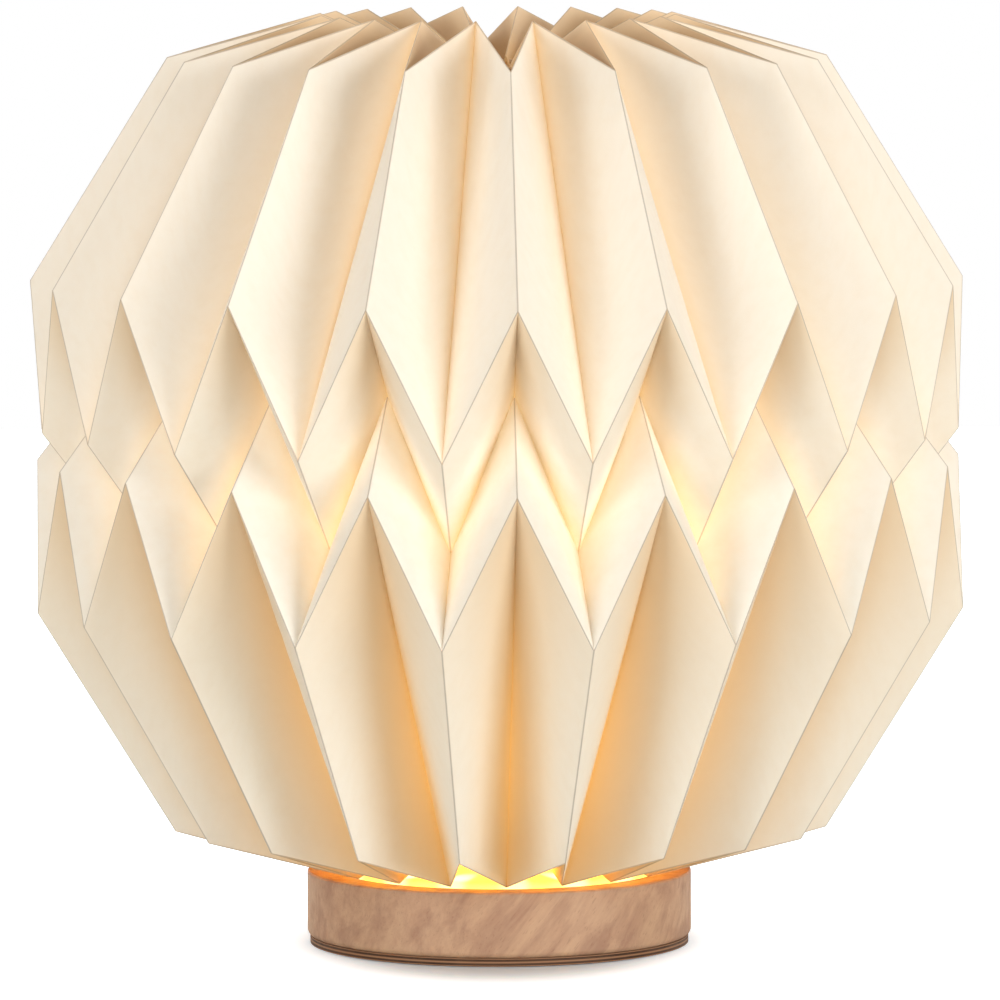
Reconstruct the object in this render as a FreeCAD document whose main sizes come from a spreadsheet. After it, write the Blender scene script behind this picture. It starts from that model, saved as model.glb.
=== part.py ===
import FreeCAD
import Part
import math
import os
import Sketcher
from FreeCAD import Placement, Rotation, Vector

# Pleated paper table lamp: a twenty-pleat folded paper shade standing on a round wooden base
# that holds the light, its driver board, a power inlet and a push button.
# The origin is on the table under the middle of the base, +Z is up and the front is -Y.

SIZES = [
    # the folded paper
    ("pleats", 20, "pleats round the shade"),
    ("fold_spacing", 30.0, "distance between two long folds on the flat strip"),
    ("zigzag_rise", 30.0, "height of a zigzag fold between two long folds"),
    ("side_band", 67.5, "mountain fold from the rim corner to the shoulder"),
    ("side_lean", 31.8, "lean of that fold from upright, degrees"),
    ("waist_band", 30.0, "folds above and below the waist"),
    ("shoulder_lean", 40.8, "lean of the fold from the shoulder to the waist"),
    ("elbow_lean", 37.6, "lean of the fold from the waist to the elbow"),
    ("shoulder_radius", 121.0, "largest radius of the shade"),
    ("seat_inset", 3.9, "from the edge of the base to the tips that stand on it"),
    ("tip_rise", 11.0, "height of the tips past the rim corners"),
    ("inner_tier", 30.0, "paper turned in past the tips"),
    ("ridge_slope", 23.0, "slope of the turned-in ridges, degrees"),
    ("tuck_slope", 27.0, "slope of the turned-in valleys, degrees"),
    ("paper_thickness", 0.35, "heavy cartridge paper"),
    ("shade_turn", 2.38, "turn of the first long fold from the front, degrees"),
    ("sheets", 4, "sheets of paper round the shade"),
    ("rest_gap", 0.3, "between the tips and the wood"),
    ("tab_width", 10.0, "glue tab across the strip"),
    ("tab_inset", 1.5, "from the fold to the tab"),
    ("tab_end", 6.0, "from the rim fold to the end of the tab"),
    ("glue_gap", 0.06, "glue between the tab and the sheet"),
    # the two strings
    ("string_radius", 0.6, "waxed cotton string"),
    ("string_inset", 3.7, "from the paper's edge to the string, along the ridge"),
    ("string_depth", 3.0, "from the ridge to the string"),
    ("string_play", 0.15, "punched hole round the string"),
    ("knot_radius", 1.5, "knot of the string"),
    # the wooden base
    ("base_radius", 50.0, "turned wooden body"),
    ("base_height", 19.0, "table to the top of the wood"),
    ("plate_thickness", 2.0, "dark plate under the wood"),
    ("plate_setback", 0.7, "plate edge inside the wood"),
    ("bottom_round", 1.7, "round under the wooden body"),
    ("top_break", 0.4, "edge broken at the top"),
    ("cavity_radius", 38.0, "hollow for the electronics"),
    ("cavity_depth", 8.5, "hollow for the electronics"),
    ("recess_depth", 5.0, "recess for the light"),
    ("slide_fit", 0.2, "loose fit of dropped-in parts"),
    ("screw_fit", 0.04, "between a screw and its hole"),
    # the light
    ("diffuser_radius", 42.0, "frosted cap"),
    ("diffuser_wall", 1.8, "frosted cap"),
    ("diffuser_stand", 1.6, "cap above the wood"),
    ("diffuser_round", 1.0, "rim of the cap"),
    ("tray_wall", 1.0, "white reflector tray"),
    ("tray_lip", 0.5, "tray below the cap"),
    ("led_board_radius", 36.0, "round light board"),
    ("board_thickness", 1.6, "both boards"),
    ("chip_side", 3.0, "one light chip"),
    ("chip_height", 0.7, "one light chip"),
    ("outer_chips", 16, "chips in the outer ring"),
    ("inner_chips", 8, "chips in the inner ring"),
    ("outer_chip_ring", 29.0, "radius of the outer ring of chips"),
    ("inner_chip_ring", 16.0, "radius of the inner ring of chips"),
    ("inner_chip_turn", 11.0, "first chip of the inner ring, degrees"),
    ("wire_hole", 3.2, "radius of the hole for the wires"),
    ("wire_radius", 0.6, "insulated wire"),
    ("wire_spread", 1.3, "wires each side of the middle"),
    ("wire_bend", 1.2, "bend of a wire"),
    ("wire_drop", 3.2, "wires below the driver board"),
    ("wire_landing", 8.2, "end of a wire from the middle of the light board"),
    ("wire_float", 0.3, "wires above the light board"),
    # screws
    ("small_shank", 1.0, "radius of the small screws"),
    ("small_head", 1.9, "radius of the small screw heads"),
    ("small_head_height", 1.2, "small screw heads"),
    ("small_bite", 2.0, "small screws into the wood"),
    ("socket_radius", 0.85, "drive in the small screws"),
    ("socket_depth", 0.6, "drive in the small screws"),
    ("light_screws", 3, "screws of the light board"),
    ("light_screw_ring", 23.0, "radius of the light's screws"),
    ("light_screw_turn", 30.0, "first of the light's screws, degrees"),
    ("plate_screws", 4, "screws under the plate"),
    ("plate_screw_ring", 44.0, "radius of the plate's screws"),
    ("plate_screw_turn", 45.0, "first of the plate's screws, degrees"),
    ("plate_shank", 1.25, "radius of the plate's screws"),
    ("plate_head", 2.5, "radius of their countersunk heads"),
    ("plate_bite", 7.5, "those screws into the wood"),
    ("head_sink", 0.2, "heads below the plate's face"),
    ("slot_long", 3.0, "cross slot in those heads"),
    ("slot_wide", 0.6, "cross slot in those heads"),
    ("slot_deep", 0.8, "cross slot in those heads"),
    # the driver board and the power inlet
    ("driver_width", 32.0, "driver board"),
    ("driver_depth", 26.0, "driver board"),
    ("driver_front", 7.0, "front edge of the driver board behind the middle"),
    ("driver_screw_inset", 3.0, "the board's screws from its edges"),
    ("driver_chip_long", 6.0, "control chip"),
    ("driver_chip_wide", 5.0, "control chip"),
    ("driver_chip_tall", 1.6, "control chip"),
    ("driver_chip_side", 8.0, "control chip left of the middle"),
    ("driver_chip_back", 14.5, "control chip behind the board's front edge"),
    ("coil_radius", 3.2, "coil"),
    ("coil_tall", 3.0, "coil"),
    ("coil_side", 9.0, "coil right of the middle"),
    ("coil_back", 14.0, "coil behind the board's front edge"),
    ("capacitor_radius", 2.0, "capacitor"),
    ("capacitor_tall", 5.0, "capacitor"),
    ("capacitor_side", 5.0, "capacitors each side of the middle"),
    ("capacitor_back", 6.0, "capacitors behind the board's front edge"),
    ("inlet_width", 8.94, "power socket"),
    ("inlet_thickness", 3.26, "power socket"),
    ("inlet_length", 10.5, "power socket"),
    ("inlet_shell", 0.32, "metal shell of the socket"),
    ("inlet_reach", 9.0, "socket past the board's rear edge"),
    ("inlet_back", 2.0, "closed end of the socket"),
    ("tongue_width", 6.6, "contact tongue"),
    ("tongue_thickness", 0.7, "contact tongue"),
    ("tongue_length", 5.0, "contact tongue"),
    ("plug_pocket_width", 13.0, "pocket in the wood for the plug"),
    ("plug_pocket_height", 6.8, "pocket in the wood for the plug"),
    # the push button
    ("button_turn", 28.0, "button round from the inlet, degrees"),
    ("button_radius", 2.5, "button"),
    ("button_fit", 0.1, "button in its bushing"),
    ("button_stand", 1.6, "button out of its bushing"),
    ("button_stop", 0.6, "shoulder of the button past its bore"),
    ("dish_radius", 10.0, "hollow in the button's face"),
    ("dish_depth", 0.3, "hollow in the button's face"),
    ("bushing_wall", 0.8, "brass bushing"),
    ("flange_wide", 1.2, "flange past the bushing's bore"),
    ("flange_thick", 0.7, "flange"),
    ("bushing_length", 11.0, "bushing in the wood"),
    ("button_travel", 1.0, "press of the button"),
    ("switch_side", 7.0, "switch body"),
    ("switch_height", 4.4, "switch body"),
    ("plunger_radius", 1.4, "switch plunger"),
    ("plunger_seat", 2.5, "plunger inside the switch at rest"),
    ("plunger_length", 5.5, "switch plunger"),
]

doc = FreeCAD.newDocument("paper_lamp")
sheet = doc.addObject("Spreadsheet::Sheet", "Sizes")
for row, (alias, value, meaning) in enumerate(SIZES, start=1):
    sheet.set(f"A{row}", meaning)
    sheet.set(f"B{row}", str(value))
    sheet.setAlias(f"B{row}", alias)
doc.recompute()

SUBPARTS = []


def size(alias):
    """One driving size, read from the sheet."""
    return float(sheet.get(alias))


def evaluate(expression):
    """The number that an expression on the sheet gives now."""
    return float(sheet.evalExpression(expression))


def keep(feature, node):
    """Marks a feature as the sub-part NODE."""
    feature.Label = node
    SUBPARTS.append(feature)
    return feature


def bind(feature, **expressions):
    """Binds properties; a double underscore stands for a point in the property's path."""
    for path, expression in expressions.items():
        feature.setExpression(path.replace("__", "."), expression)
    return feature


def place(feature, x="0", y="0", z="0"):
    """Binds the position of a primitive."""
    return bind(feature, Placement__Base__x=x, Placement__Base__y=y, Placement__Base__z=z)


def cylinder(name, radius, height, x="0", y="0", z="0"):
    """An upright cylinder."""
    feature = doc.addObject("Part::Cylinder", name)
    bind(feature, Radius=radius, Height=height)
    return place(feature, x, y, z)


def box(name, length, width, height, x="0", y="0", z="0"):
    """A box from its lowest corner."""
    feature = doc.addObject("Part::Box", name)
    bind(feature, Length=length, Width=width, Height=height)
    return place(feature, x, y, z)


def lying_cylinder(name, radius, length, start, z):
    """A cylinder on the button's axis, from START outwards."""
    feature = cylinder(name, radius, length)
    lying = Rotation(Vector(1, 0, 0), -90)
    feature.Placement.Rotation = Rotation(Vector(0, 0, 1), size("button_turn")) * lying
    turn = "Sizes.button_turn"
    return place(feature, f"-sin({turn}) * ({start})", f"cos({turn}) * ({start})", z)


def cut(name, base, *tools):
    """BASE less all the TOOLS."""
    feature = doc.addObject("Part::Cut", name)
    feature.Base = base
    feature.Tool = tools[0] if len(tools) == 1 else fuse(name + "_tools", *tools)
    return feature


def fuse(name, *pieces):
    """All the PIECES in one."""
    feature = doc.addObject("Part::MultiFuse", name)
    feature.Shapes = list(pieces)
    return feature


def group(name, pieces):
    """Separate solids that share one node."""
    feature = doc.addObject("Part::Compound", name)
    feature.Links = list(pieces)
    return feature


def origin_plane(body, role):
    """One of a body's own origin planes."""
    return next(item for item in body.Origin.OriginFeatures if item.Role == role)


def profile(body, points):
    """A closed outline of straight lines on the body's XZ plane, each corner bound to the sheet."""
    sketch = body.newObject("Sketcher::SketchObject", body.Name + "_profile")
    sketch.AttachmentSupport = [(origin_plane(body, "XZ_Plane"), "")]
    sketch.MapMode = "FlatFace"
    corners = [Vector(evaluate(across), evaluate(up), 0) for across, up in points]
    following = [(index + 1) % len(corners) for index in range(len(corners))]
    for corner, after in zip(corners, following):
        sketch.addGeometry(Part.LineSegment(corner, corners[after]), False)
    for index, after in enumerate(following):
        sketch.addConstraint(Sketcher.Constraint("Coincident", index, 2, after, 1))
    for index, (across, up) in enumerate(points):
        for kind, axis, expression in (("DistanceX", -2, across), ("DistanceY", -1, up)):
            if expression == "0":
                sketch.addConstraint(Sketcher.Constraint("PointOnObject", index, 1, axis))
            else:
                number = evaluate(expression)
                row = sketch.addConstraint(Sketcher.Constraint(kind, -1, 1, index, 1, number))
                sketch.setExpression(f"Constraints[{row}]", expression)
    return sketch


def turned(name, points):
    """A body turned about Z from an outline of (radius, height) corners."""
    body = doc.addObject("PartDesign::Body", name)
    sketch = profile(body, points)
    turn = body.newObject("PartDesign::Revolution", name + "_turning")
    turn.Profile = sketch
    turn.ReferenceAxis = (sketch, ["V_Axis"])
    sketch.Visibility = False
    doc.recompute()
    return body


def ring_edges(shape, radius, height):
    """Names of the round edges of one radius at one height."""
    found = []
    for number, edge in enumerate(shape.Edges, start=1):
        curve = edge.Curve
        if isinstance(curve, Part.Circle):
            if abs(curve.Radius - radius) < 1e-4 and abs(curve.Center.z - height) < 1e-4:
                found.append(f"Edge{number}")
    return found


def dress_edge(body, kind, property_name, expression, radius, height):
    """Rounds or chamfers one round edge of a body."""
    base = body.Tip
    edges = ring_edges(base.Shape, evaluate(radius), evaluate(height))
    feature = body.newObject(kind, body.Name + "_" + property_name.lower())
    feature.Base = (base, edges)
    bind(feature, **{property_name: expression})
    doc.recompute()
    return feature


def polar_copies(name, piece, count, first="0"):
    """COUNT copies of one piece round Z, the first turned by FIRST degrees."""
    copies = []
    full_turn = 360.0
    for index in range(int(size(count))):
        feature = doc.addObject("Part::Feature", f"{name}_{index}")
        feature.Shape = piece.Shape
        angle = evaluate(first) + full_turn * index / int(size(count))
        feature.Placement = Placement(Vector(0, 0, 0), Rotation(Vector(0, 0, 1), angle)) * piece.Placement
        copies.append(feature)
    return copies


# ---------------------------------------------------------------- the folded paper

class Strip:
    """The folded strip: rows of corners on long folds that alternate round the shade."""

    def __init__(self):
        self.lines = 2 * int(size("pleats"))
        self.sheet_lines = self.lines // int(size("sheets"))
        self.step = 360.0 / self.lines
        slant = math.hypot(size("fold_spacing"), size("zigzag_rise"))
        shoulder = size("shoulder_radius")
        waist = shoulder - size("waist_band") * math.sin(math.radians(size("shoulder_lean")))
        elbow = waist + size("waist_band") * math.sin(math.radians(size("elbow_lean")))
        rim = shoulder - size("side_band") * math.sin(math.radians(size("side_lean")))
        tip = size("base_radius") - size("seat_inset")
        waist_chord = 2 * waist * math.sin(math.radians(self.step / 2))
        waist_up = math.sqrt(slant ** 2 - waist_chord ** 2) / 2
        shoulder_up = waist_up + size("waist_band") * math.cos(math.radians(size("shoulder_lean")))
        elbow_down = waist_up - size("waist_band") * math.cos(math.radians(size("elbow_lean")))
        rim_up = shoulder_up + size("side_band") * math.cos(math.radians(size("side_lean")))
        tip_up = rim_up + size("tip_rise")
        ridge = math.radians(size("ridge_slope"))
        tuck = math.radians(size("tuck_slope"))
        tuck_length = size("inner_tier") + size("zigzag_rise")
        ridge_length = size("inner_tier")
        edge_ridge = (tip - ridge_length * math.cos(ridge), tip_up - ridge_length * math.sin(ridge))
        edge_tuck = (rim - tuck_length * math.cos(tuck), rim_up - tuck_length * math.sin(tuck))
        upper = [
            (edge_tuck, edge_ridge),
            ((rim, rim_up), (tip, tip_up)),
            ((shoulder, shoulder_up), (elbow, -elbow_down)),
            ((waist, waist_up), (waist, -waist_up)),
        ]
        lower = [tuple((r, -z) for r, z in reversed(pair)) for pair in reversed(upper[:-1])]
        self.rows = upper + lower
        self.edge_ridge = edge_ridge
        self.ridge = ridge
        self.middle = 0.0
        self.points = self.corners()
        self.shifts = corner_shifts(self.points, sheet_triangles(self.lines, len(self.rows), True))
        half_paper = size("paper_thickness") / 2
        lowest = min(point.z - abs(shift.z) * half_paper for point, shift in zip(self.points, self.shifts))
        self.middle = size("base_height") + size("rest_gap") - lowest
        self.points = self.corners()

    def corners(self):
        """All the corners, long fold by long fold, each from the top row down."""
        return [self.corner(line, row) for line in range(self.lines) for row in range(len(self.rows))]

    def corner(self, line, row):
        """The corner of one row on one long fold, in the middle of the paper."""
        radius, height = self.rows[row][line % 2]
        angle = math.radians(size("shade_turn") + self.step * line)
        return Vector(radius * math.sin(angle), -radius * math.cos(angle), height + self.middle)

    def seams(self):
        """The side of each sheet and its first long fold."""
        sides = ("right", "back", "left", "front")
        return [(side, self.sheet_lines // 2 + index * self.sheet_lines) for index, side in enumerate(sides)]

    def between(self, line, row, share):
        """A point on the zigzag fold of one row, a SHARE of the way to the next long fold."""
        start = self.corner(line, row)
        return start + (self.corner(line + 1, row) - start) * share


def triangle_normals(points, triangles):
    """Unit normals of the triangles."""
    normals = []
    for a, b, c in triangles:
        normals.append((points[b] - points[a]).cross(points[c] - points[a]).normalize())
    return normals


def solve_offset(normals, reach):
    """The corner's shift that moves each face that meets there by one, kept to REACH."""
    weight = 1e-3
    rows = [[weight, 0.0, 0.0, 0.0], [0.0, weight, 0.0, 0.0], [0.0, 0.0, weight, 0.0]]
    for normal in normals:
        for i in range(3):
            for j in range(3):
                rows[i][j] += normal[i] * normal[j]
            rows[i][3] += normal[i]
    matrix = FreeCAD.Matrix(
        rows[0][0], rows[0][1], rows[0][2], 0,
        rows[1][0], rows[1][1], rows[1][2], 0,
        rows[2][0], rows[2][1], rows[2][2], 0,
        0, 0, 0, 1)
    shift = matrix.inverse().multVec(Vector(rows[0][3], rows[1][3], rows[2][3]))
    if shift.Length > reach:
        shift.multiply(reach / shift.Length)
    return shift


def sheet_triangles(columns, rows, closed, first_line=0):
    """Two triangles for each panel of a grid of corners numbered column by column."""
    triangles = []
    span = columns if closed else columns - 1
    for column in range(span):
        beside = (column + 1) % columns
        for row in range(rows - 1):
            a, b = column * rows + row, beside * rows + row
            c, d = b + 1, a + 1
            # the short diagonal turns over with the zigzag, so that both sides of a pleat match
            if (first_line + column) % 2 == 0:
                triangles += [(a, d, c), (a, c, b)]
            else:
                triangles += [(a, d, b), (d, c, b)]
    return triangles


def corner_shifts(points, triangles):
    """For each corner, the shift that moves every panel there outwards by one."""
    longest_miter = 8.0
    normals = triangle_normals(points, triangles)
    meeting = [[] for _ in points]
    for normal, triangle in zip(normals, triangles):
        for index in triangle:
            meeting[index].append(normal)
    return [solve_offset(found, longest_miter) for found in meeting]


def thick_sheet(points, shifts, first_line, columns, inner, outer):
    """A closed sheet of paper between two distances from its grid of corners."""
    rows = len(points) // columns
    count = len(points)
    vertices = [point + shift * outer for point, shift in zip(points, shifts)]
    vertices += [point + shift * inner for point, shift in zip(points, shifts)]
    triangles = sheet_triangles(columns, rows, False, first_line)
    faces = list(triangles)
    faces += [(a + count, c + count, b + count) for a, b, c in triangles]
    top = [column * rows for column in range(columns)]
    bottom = [column * rows + rows - 1 for column in range(columns)]
    left = list(range(rows))
    right = [(columns - 1) * rows + row for row in range(rows)]
    for edge in (top, bottom[::-1], left[::-1], right):
        for first, second in zip(edge, edge[1:]):
            faces.append((first, second, second + count))
            faces.append((first, second + count, first + count))
    shape = Part.Shape()
    same_point = 0.001
    shape.makeShapeFromMesh(([tuple(vertex) for vertex in vertices], faces), same_point)
    solid = Part.makeSolid(Part.Shell(shape.Faces))
    if solid.Volume < 0:
        solid.reverse()
    return solid


def paper_feature(node, shape):
    """A sub-part of paper or string, whose form only a formula gives."""
    feature = doc.addObject("Part::Feature", node)
    feature.Shape = shape
    return keep(feature, node)


def string_ring(strip, side):
    """Radius and height of a drawn string; SIDE is 1 for the top and -1 for the bottom."""
    radius = strip.edge_ridge[0] + size("string_inset") * math.cos(strip.ridge)
    above = strip.edge_ridge[1] + size("string_inset") * math.sin(strip.ridge) - size("string_depth")
    return radius, strip.middle + side * above


def punched_holes(strip, side):
    """The holes that a string goes through, one across each turned-in ridge."""
    radius, height = string_ring(strip, side)
    wide = size("string_radius") + size("string_play")
    long = 2.0 * size("string_inset")
    first = 1 if side > 0 else 0
    holes = []
    for line in range(first, strip.lines, 2):
        angle = math.radians(size("shade_turn") + strip.step * line)
        along = Vector(math.cos(angle), math.sin(angle), 0)
        centre = Vector(radius * math.sin(angle), -radius * math.cos(angle), height)
        holes.append(Part.makeCylinder(wide, long, centre - along * (long / 2), along))
    return holes


def make_shade(strip):
    """The pleated sheets, joined on long folds that lie between front, right, back and left."""
    thickness = size("paper_thickness")
    holes = Part.makeCompound(punched_holes(strip, 1) + punched_holes(strip, -1))
    for side, first in strip.seams():
        own_points = []
        own_shifts = []
        for line in range(first, first + strip.sheet_lines + 1):
            for row in range(len(strip.rows)):
                index = (line % strip.lines) * len(strip.rows) + row
                own_points.append(strip.points[index])
                own_shifts.append(strip.shifts[index])
        paper = thick_sheet(own_points, own_shifts, first, strip.sheet_lines + 1,
                            -thickness / 2, thickness / 2)
        paper_feature("shade_sheet_" + side, paper.cut(holes))


def make_glue_tabs(strip):
    """The tab of each sheet, glued inside the first panels of the next one round."""
    spacing = size("fold_spacing")
    near = size("tab_inset") / spacing
    far = near + size("tab_width") / spacing
    behind = size("paper_thickness") / 2 + size("glue_gap")
    for side, line in strip.seams():
        points = []
        for share in (near, far):
            column = [strip.between(line, row, share) for row in range(1, len(strip.rows) - 1)]
            column[0] += (column[1] - column[0]).normalize() * size("tab_end")
            column[-1] += (column[-2] - column[-1]).normalize() * size("tab_end")
            points += column
        shifts = corner_shifts(points, sheet_triangles(2, len(points) // 2, False, line))
        tab = thick_sheet(points, shifts, line, 2, -behind - size("paper_thickness"), -behind)
        paper_feature("glue_tab_" + side, tab)


def make_drawstrings(strip):
    """The string through the turned-in ridges at each end, with its knot between two ridges."""
    for node, side, knot_line in (("top_drawstring", 1, strip.lines // 2), ("bottom_drawstring", -1, 1)):
        radius, height = string_ring(strip, side)
        ring = Part.makeTorus(radius, size("string_radius"), Vector(0, 0, height), Vector(0, 0, 1))
        angle = math.radians(size("shade_turn") + strip.step * knot_line)
        along = Vector(math.cos(angle), math.sin(angle), 0)
        knot = Part.makeSphere(size("knot_radius"), Vector(0, 0, 0), along)
        knot.translate(Vector(radius * math.sin(angle), -radius * math.cos(angle), height))
        paper_feature(node, ring.fuse(knot))


# ---------------------------------------------------------------- the base

WOOD_FOOT = "Sizes.plate_thickness"
WOOD_TOP = "Sizes.base_height"
CAVITY_TOP = "Sizes.plate_thickness + Sizes.cavity_depth"
RECESS_FLOOR = "Sizes.base_height - Sizes.recess_depth"
RECESS_RADIUS = "Sizes.diffuser_radius + Sizes.slide_fit"
WEB = f"({RECESS_FLOOR}) - ({CAVITY_TOP})"
TRAY_RADIUS = "Sizes.diffuser_radius - Sizes.diffuser_wall - Sizes.slide_fit"
CAP_TOP = "Sizes.base_height + Sizes.diffuser_stand"
LED_BOARD_FOOT = f"{RECESS_FLOOR} + Sizes.tray_wall"
LED_BOARD_TOP = f"{LED_BOARD_FOOT} + Sizes.board_thickness"
DRIVER_FOOT = f"{CAVITY_TOP} - Sizes.board_thickness"
DRIVER_REAR = "Sizes.driver_front + Sizes.driver_depth"
INLET_HEIGHT = f"{DRIVER_FOOT} - Sizes.inlet_thickness / 2"
INLET_MOUTH = f"{DRIVER_REAR} + Sizes.inlet_reach"
BUTTON_HEIGHT = f"{DRIVER_FOOT} - Sizes.switch_height / 2"
BUSHING_BORE = "Sizes.button_radius + Sizes.button_fit"
BUSHING_OUTSIDE = f"{BUSHING_BORE} + Sizes.bushing_wall"
BUSHING_START = "Sizes.base_radius - Sizes.bushing_length"
BUTTON_STOP_START = f"{BUSHING_START} - Sizes.button_fit - Sizes.button_stop"
SWITCH_FACE = f"{BUTTON_STOP_START} + Sizes.plunger_seat - Sizes.plunger_length"
SMALL_HOLE = "Sizes.small_shank + Sizes.screw_fit"


def oblong(name, width, thickness, length, y, z):
    """A bar with round ends across X, lying along Y."""
    middle = box(name + "_middle", f"{width} - ({thickness})", length, thickness,
                 f"-(({width}) - ({thickness})) / 2", y, f"{z} - ({thickness}) / 2")
    ends = []
    for side, sign in (("left", "-"), ("right", "")):
        end = cylinder(f"{name}_{side}", f"({thickness}) / 2", length)
        end.Placement.Rotation = Rotation(Vector(1, 0, 0), -90)
        ends.append(place(end, f"{sign}(({width}) - ({thickness})) / 2", y, z))
    return fuse(name, middle, *ends)


def make_wood_base():
    """The turned body: recess for the light above, hollow for the electronics below."""
    blank = turned("wood_blank", [
        ("Sizes.cavity_radius", WOOD_FOOT),
        ("Sizes.base_radius", WOOD_FOOT),
        ("Sizes.base_radius", WOOD_TOP),
        (RECESS_RADIUS, WOOD_TOP),
        (RECESS_RADIUS, RECESS_FLOOR),
        ("0", RECESS_FLOOR),
        ("0", CAVITY_TOP),
        ("Sizes.cavity_radius", CAVITY_TOP),
    ])
    dress_edge(blank, "PartDesign::Fillet", "Radius", "Sizes.bottom_round", "Sizes.base_radius", WOOD_FOOT)
    dress_edge(blank, "PartDesign::Chamfer", "Size", "Sizes.top_break", "Sizes.base_radius", WOOD_TOP)
    wire_hole = cylinder("wood_wire_hole", "Sizes.wire_hole", WEB, z=CAVITY_TOP)
    pocket = oblong("wood_plug_pocket", "Sizes.plug_pocket_width", "Sizes.plug_pocket_height",
                    "Sizes.base_radius - Sizes.cavity_radius + 4 * Sizes.slide_fit",
                    "Sizes.cavity_radius - 2 * Sizes.slide_fit", INLET_HEIGHT)
    bore = lying_cylinder("wood_button_bore", f"{BUSHING_OUTSIDE} + Sizes.screw_fit",
                          "Sizes.bushing_length + Sizes.base_radius - Sizes.cavity_radius",
                          "Sizes.cavity_radius - Sizes.slide_fit", BUTTON_HEIGHT)
    plate_hole = cylinder("wood_plate_pilot", "Sizes.plate_shank + Sizes.screw_fit",
                          "Sizes.plate_bite + Sizes.screw_fit", x="Sizes.plate_screw_ring", z=WOOD_FOOT)
    light_hole = cylinder("wood_light_pilot", SMALL_HOLE, "Sizes.small_bite + Sizes.screw_fit",
                          x="Sizes.light_screw_ring",
                          z=f"{RECESS_FLOOR} - Sizes.small_bite - Sizes.screw_fit")
    driver_holes = driver_screw_cylinders("wood_driver_pilot", SMALL_HOLE,
                                          "Sizes.small_bite + Sizes.screw_fit", CAVITY_TOP)
    doc.recompute()
    pilots = polar_copies("wood_plate_pilots", plate_hole, "plate_screws", "Sizes.plate_screw_turn")
    pilots += light_screw_copies("wood_light_pilots", light_hole)
    keep(cut("wood_base", blank, wire_hole, pocket, bore, *pilots, *driver_holes), "wood_base")


def light_screw_copies(name, piece):
    """Copies at the light's screws, clear of the driver board's screws."""
    return polar_copies(name, piece, "light_screws", "Sizes.light_screw_turn")


def driver_screw_cylinders(name, radius, height, z):
    """One cylinder at each of the driver board's two front corners."""
    along = "Sizes.driver_front + Sizes.driver_screw_inset"
    across = "Sizes.driver_width / 2 - Sizes.driver_screw_inset"
    return [
        cylinder(name + "_left", radius, height, f"-({across})", along, z),
        cylinder(name + "_right", radius, height, across, along, z),
    ]


def make_base_plate():
    """The dark plate that closes the base, countersunk for its screws."""
    edge = "Sizes.base_radius - Sizes.plate_setback"
    blank = cylinder("plate_blank", edge, "Sizes.plate_thickness")
    hole = cylinder("plate_hole", "Sizes.plate_shank + 2 * Sizes.screw_fit", "Sizes.plate_thickness",
                    x="Sizes.plate_screw_ring")
    cone = doc.addObject("Part::Cone", "plate_countersink")
    wide_end = "Sizes.plate_head + 2 * Sizes.screw_fit + Sizes.head_sink"
    bind(cone, Radius1=wide_end, Radius2="Sizes.plate_shank", Height=f"{wide_end} - Sizes.plate_shank")
    place(cone, "Sizes.plate_screw_ring")
    doc.recompute()
    holes = polar_copies("plate_holes", hole, "plate_screws", "Sizes.plate_screw_turn")
    sinks = polar_copies("plate_sinks", cone, "plate_screws", "Sizes.plate_screw_turn")
    keep(cut("base_plate", blank, *holes, *sinks), "base_plate")


def make_plate_screws():
    """Countersunk screws from below into the wood."""
    head = doc.addObject("Part::Cone", "plate_screw_head")
    head_height = "Sizes.plate_head - Sizes.plate_shank"
    bind(head, Radius1="Sizes.plate_head", Radius2="Sizes.plate_shank", Height=head_height)
    place(head, "Sizes.plate_screw_ring", z="Sizes.head_sink")
    shank = cylinder("plate_screw_shank", "Sizes.plate_shank",
                     f"Sizes.plate_thickness + Sizes.plate_bite - Sizes.head_sink - ({head_height})",
                     x="Sizes.plate_screw_ring", z=f"Sizes.head_sink + {head_height}")
    slots = []
    for way, along, across in (("radial", "Sizes.slot_long", "Sizes.slot_wide"),
                               ("tangent", "Sizes.slot_wide", "Sizes.slot_long")):
        slots.append(box(f"plate_screw_slot_{way}", along, across, "Sizes.slot_deep",
                         f"Sizes.plate_screw_ring - {along} / 2", f"-{across} / 2", "Sizes.head_sink"))
    screw = cut("plate_screw", fuse("plate_screw_solid", head, shank), *slots)
    doc.recompute()
    copies = polar_copies("plate_screw_copy", screw, "plate_screws", "Sizes.plate_screw_turn")
    keep(group("base_plate_screws", copies), "base_plate_screws")


def small_screw(name, z, length):
    """A pan-head screw on the Z axis, its head's seat at Z and its shank below it."""
    head = cylinder(name + "_head", "Sizes.small_head", "Sizes.small_head_height", z=z)
    shank = cylinder(name + "_shank", "Sizes.small_shank", length, z=f"{z} - ({length})")
    socket = cylinder(name + "_socket", "Sizes.socket_radius", "Sizes.socket_depth",
                      z=f"{z} + Sizes.small_head_height - Sizes.socket_depth")
    return cut(name, fuse(name + "_solid", head, shank), socket)


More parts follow.
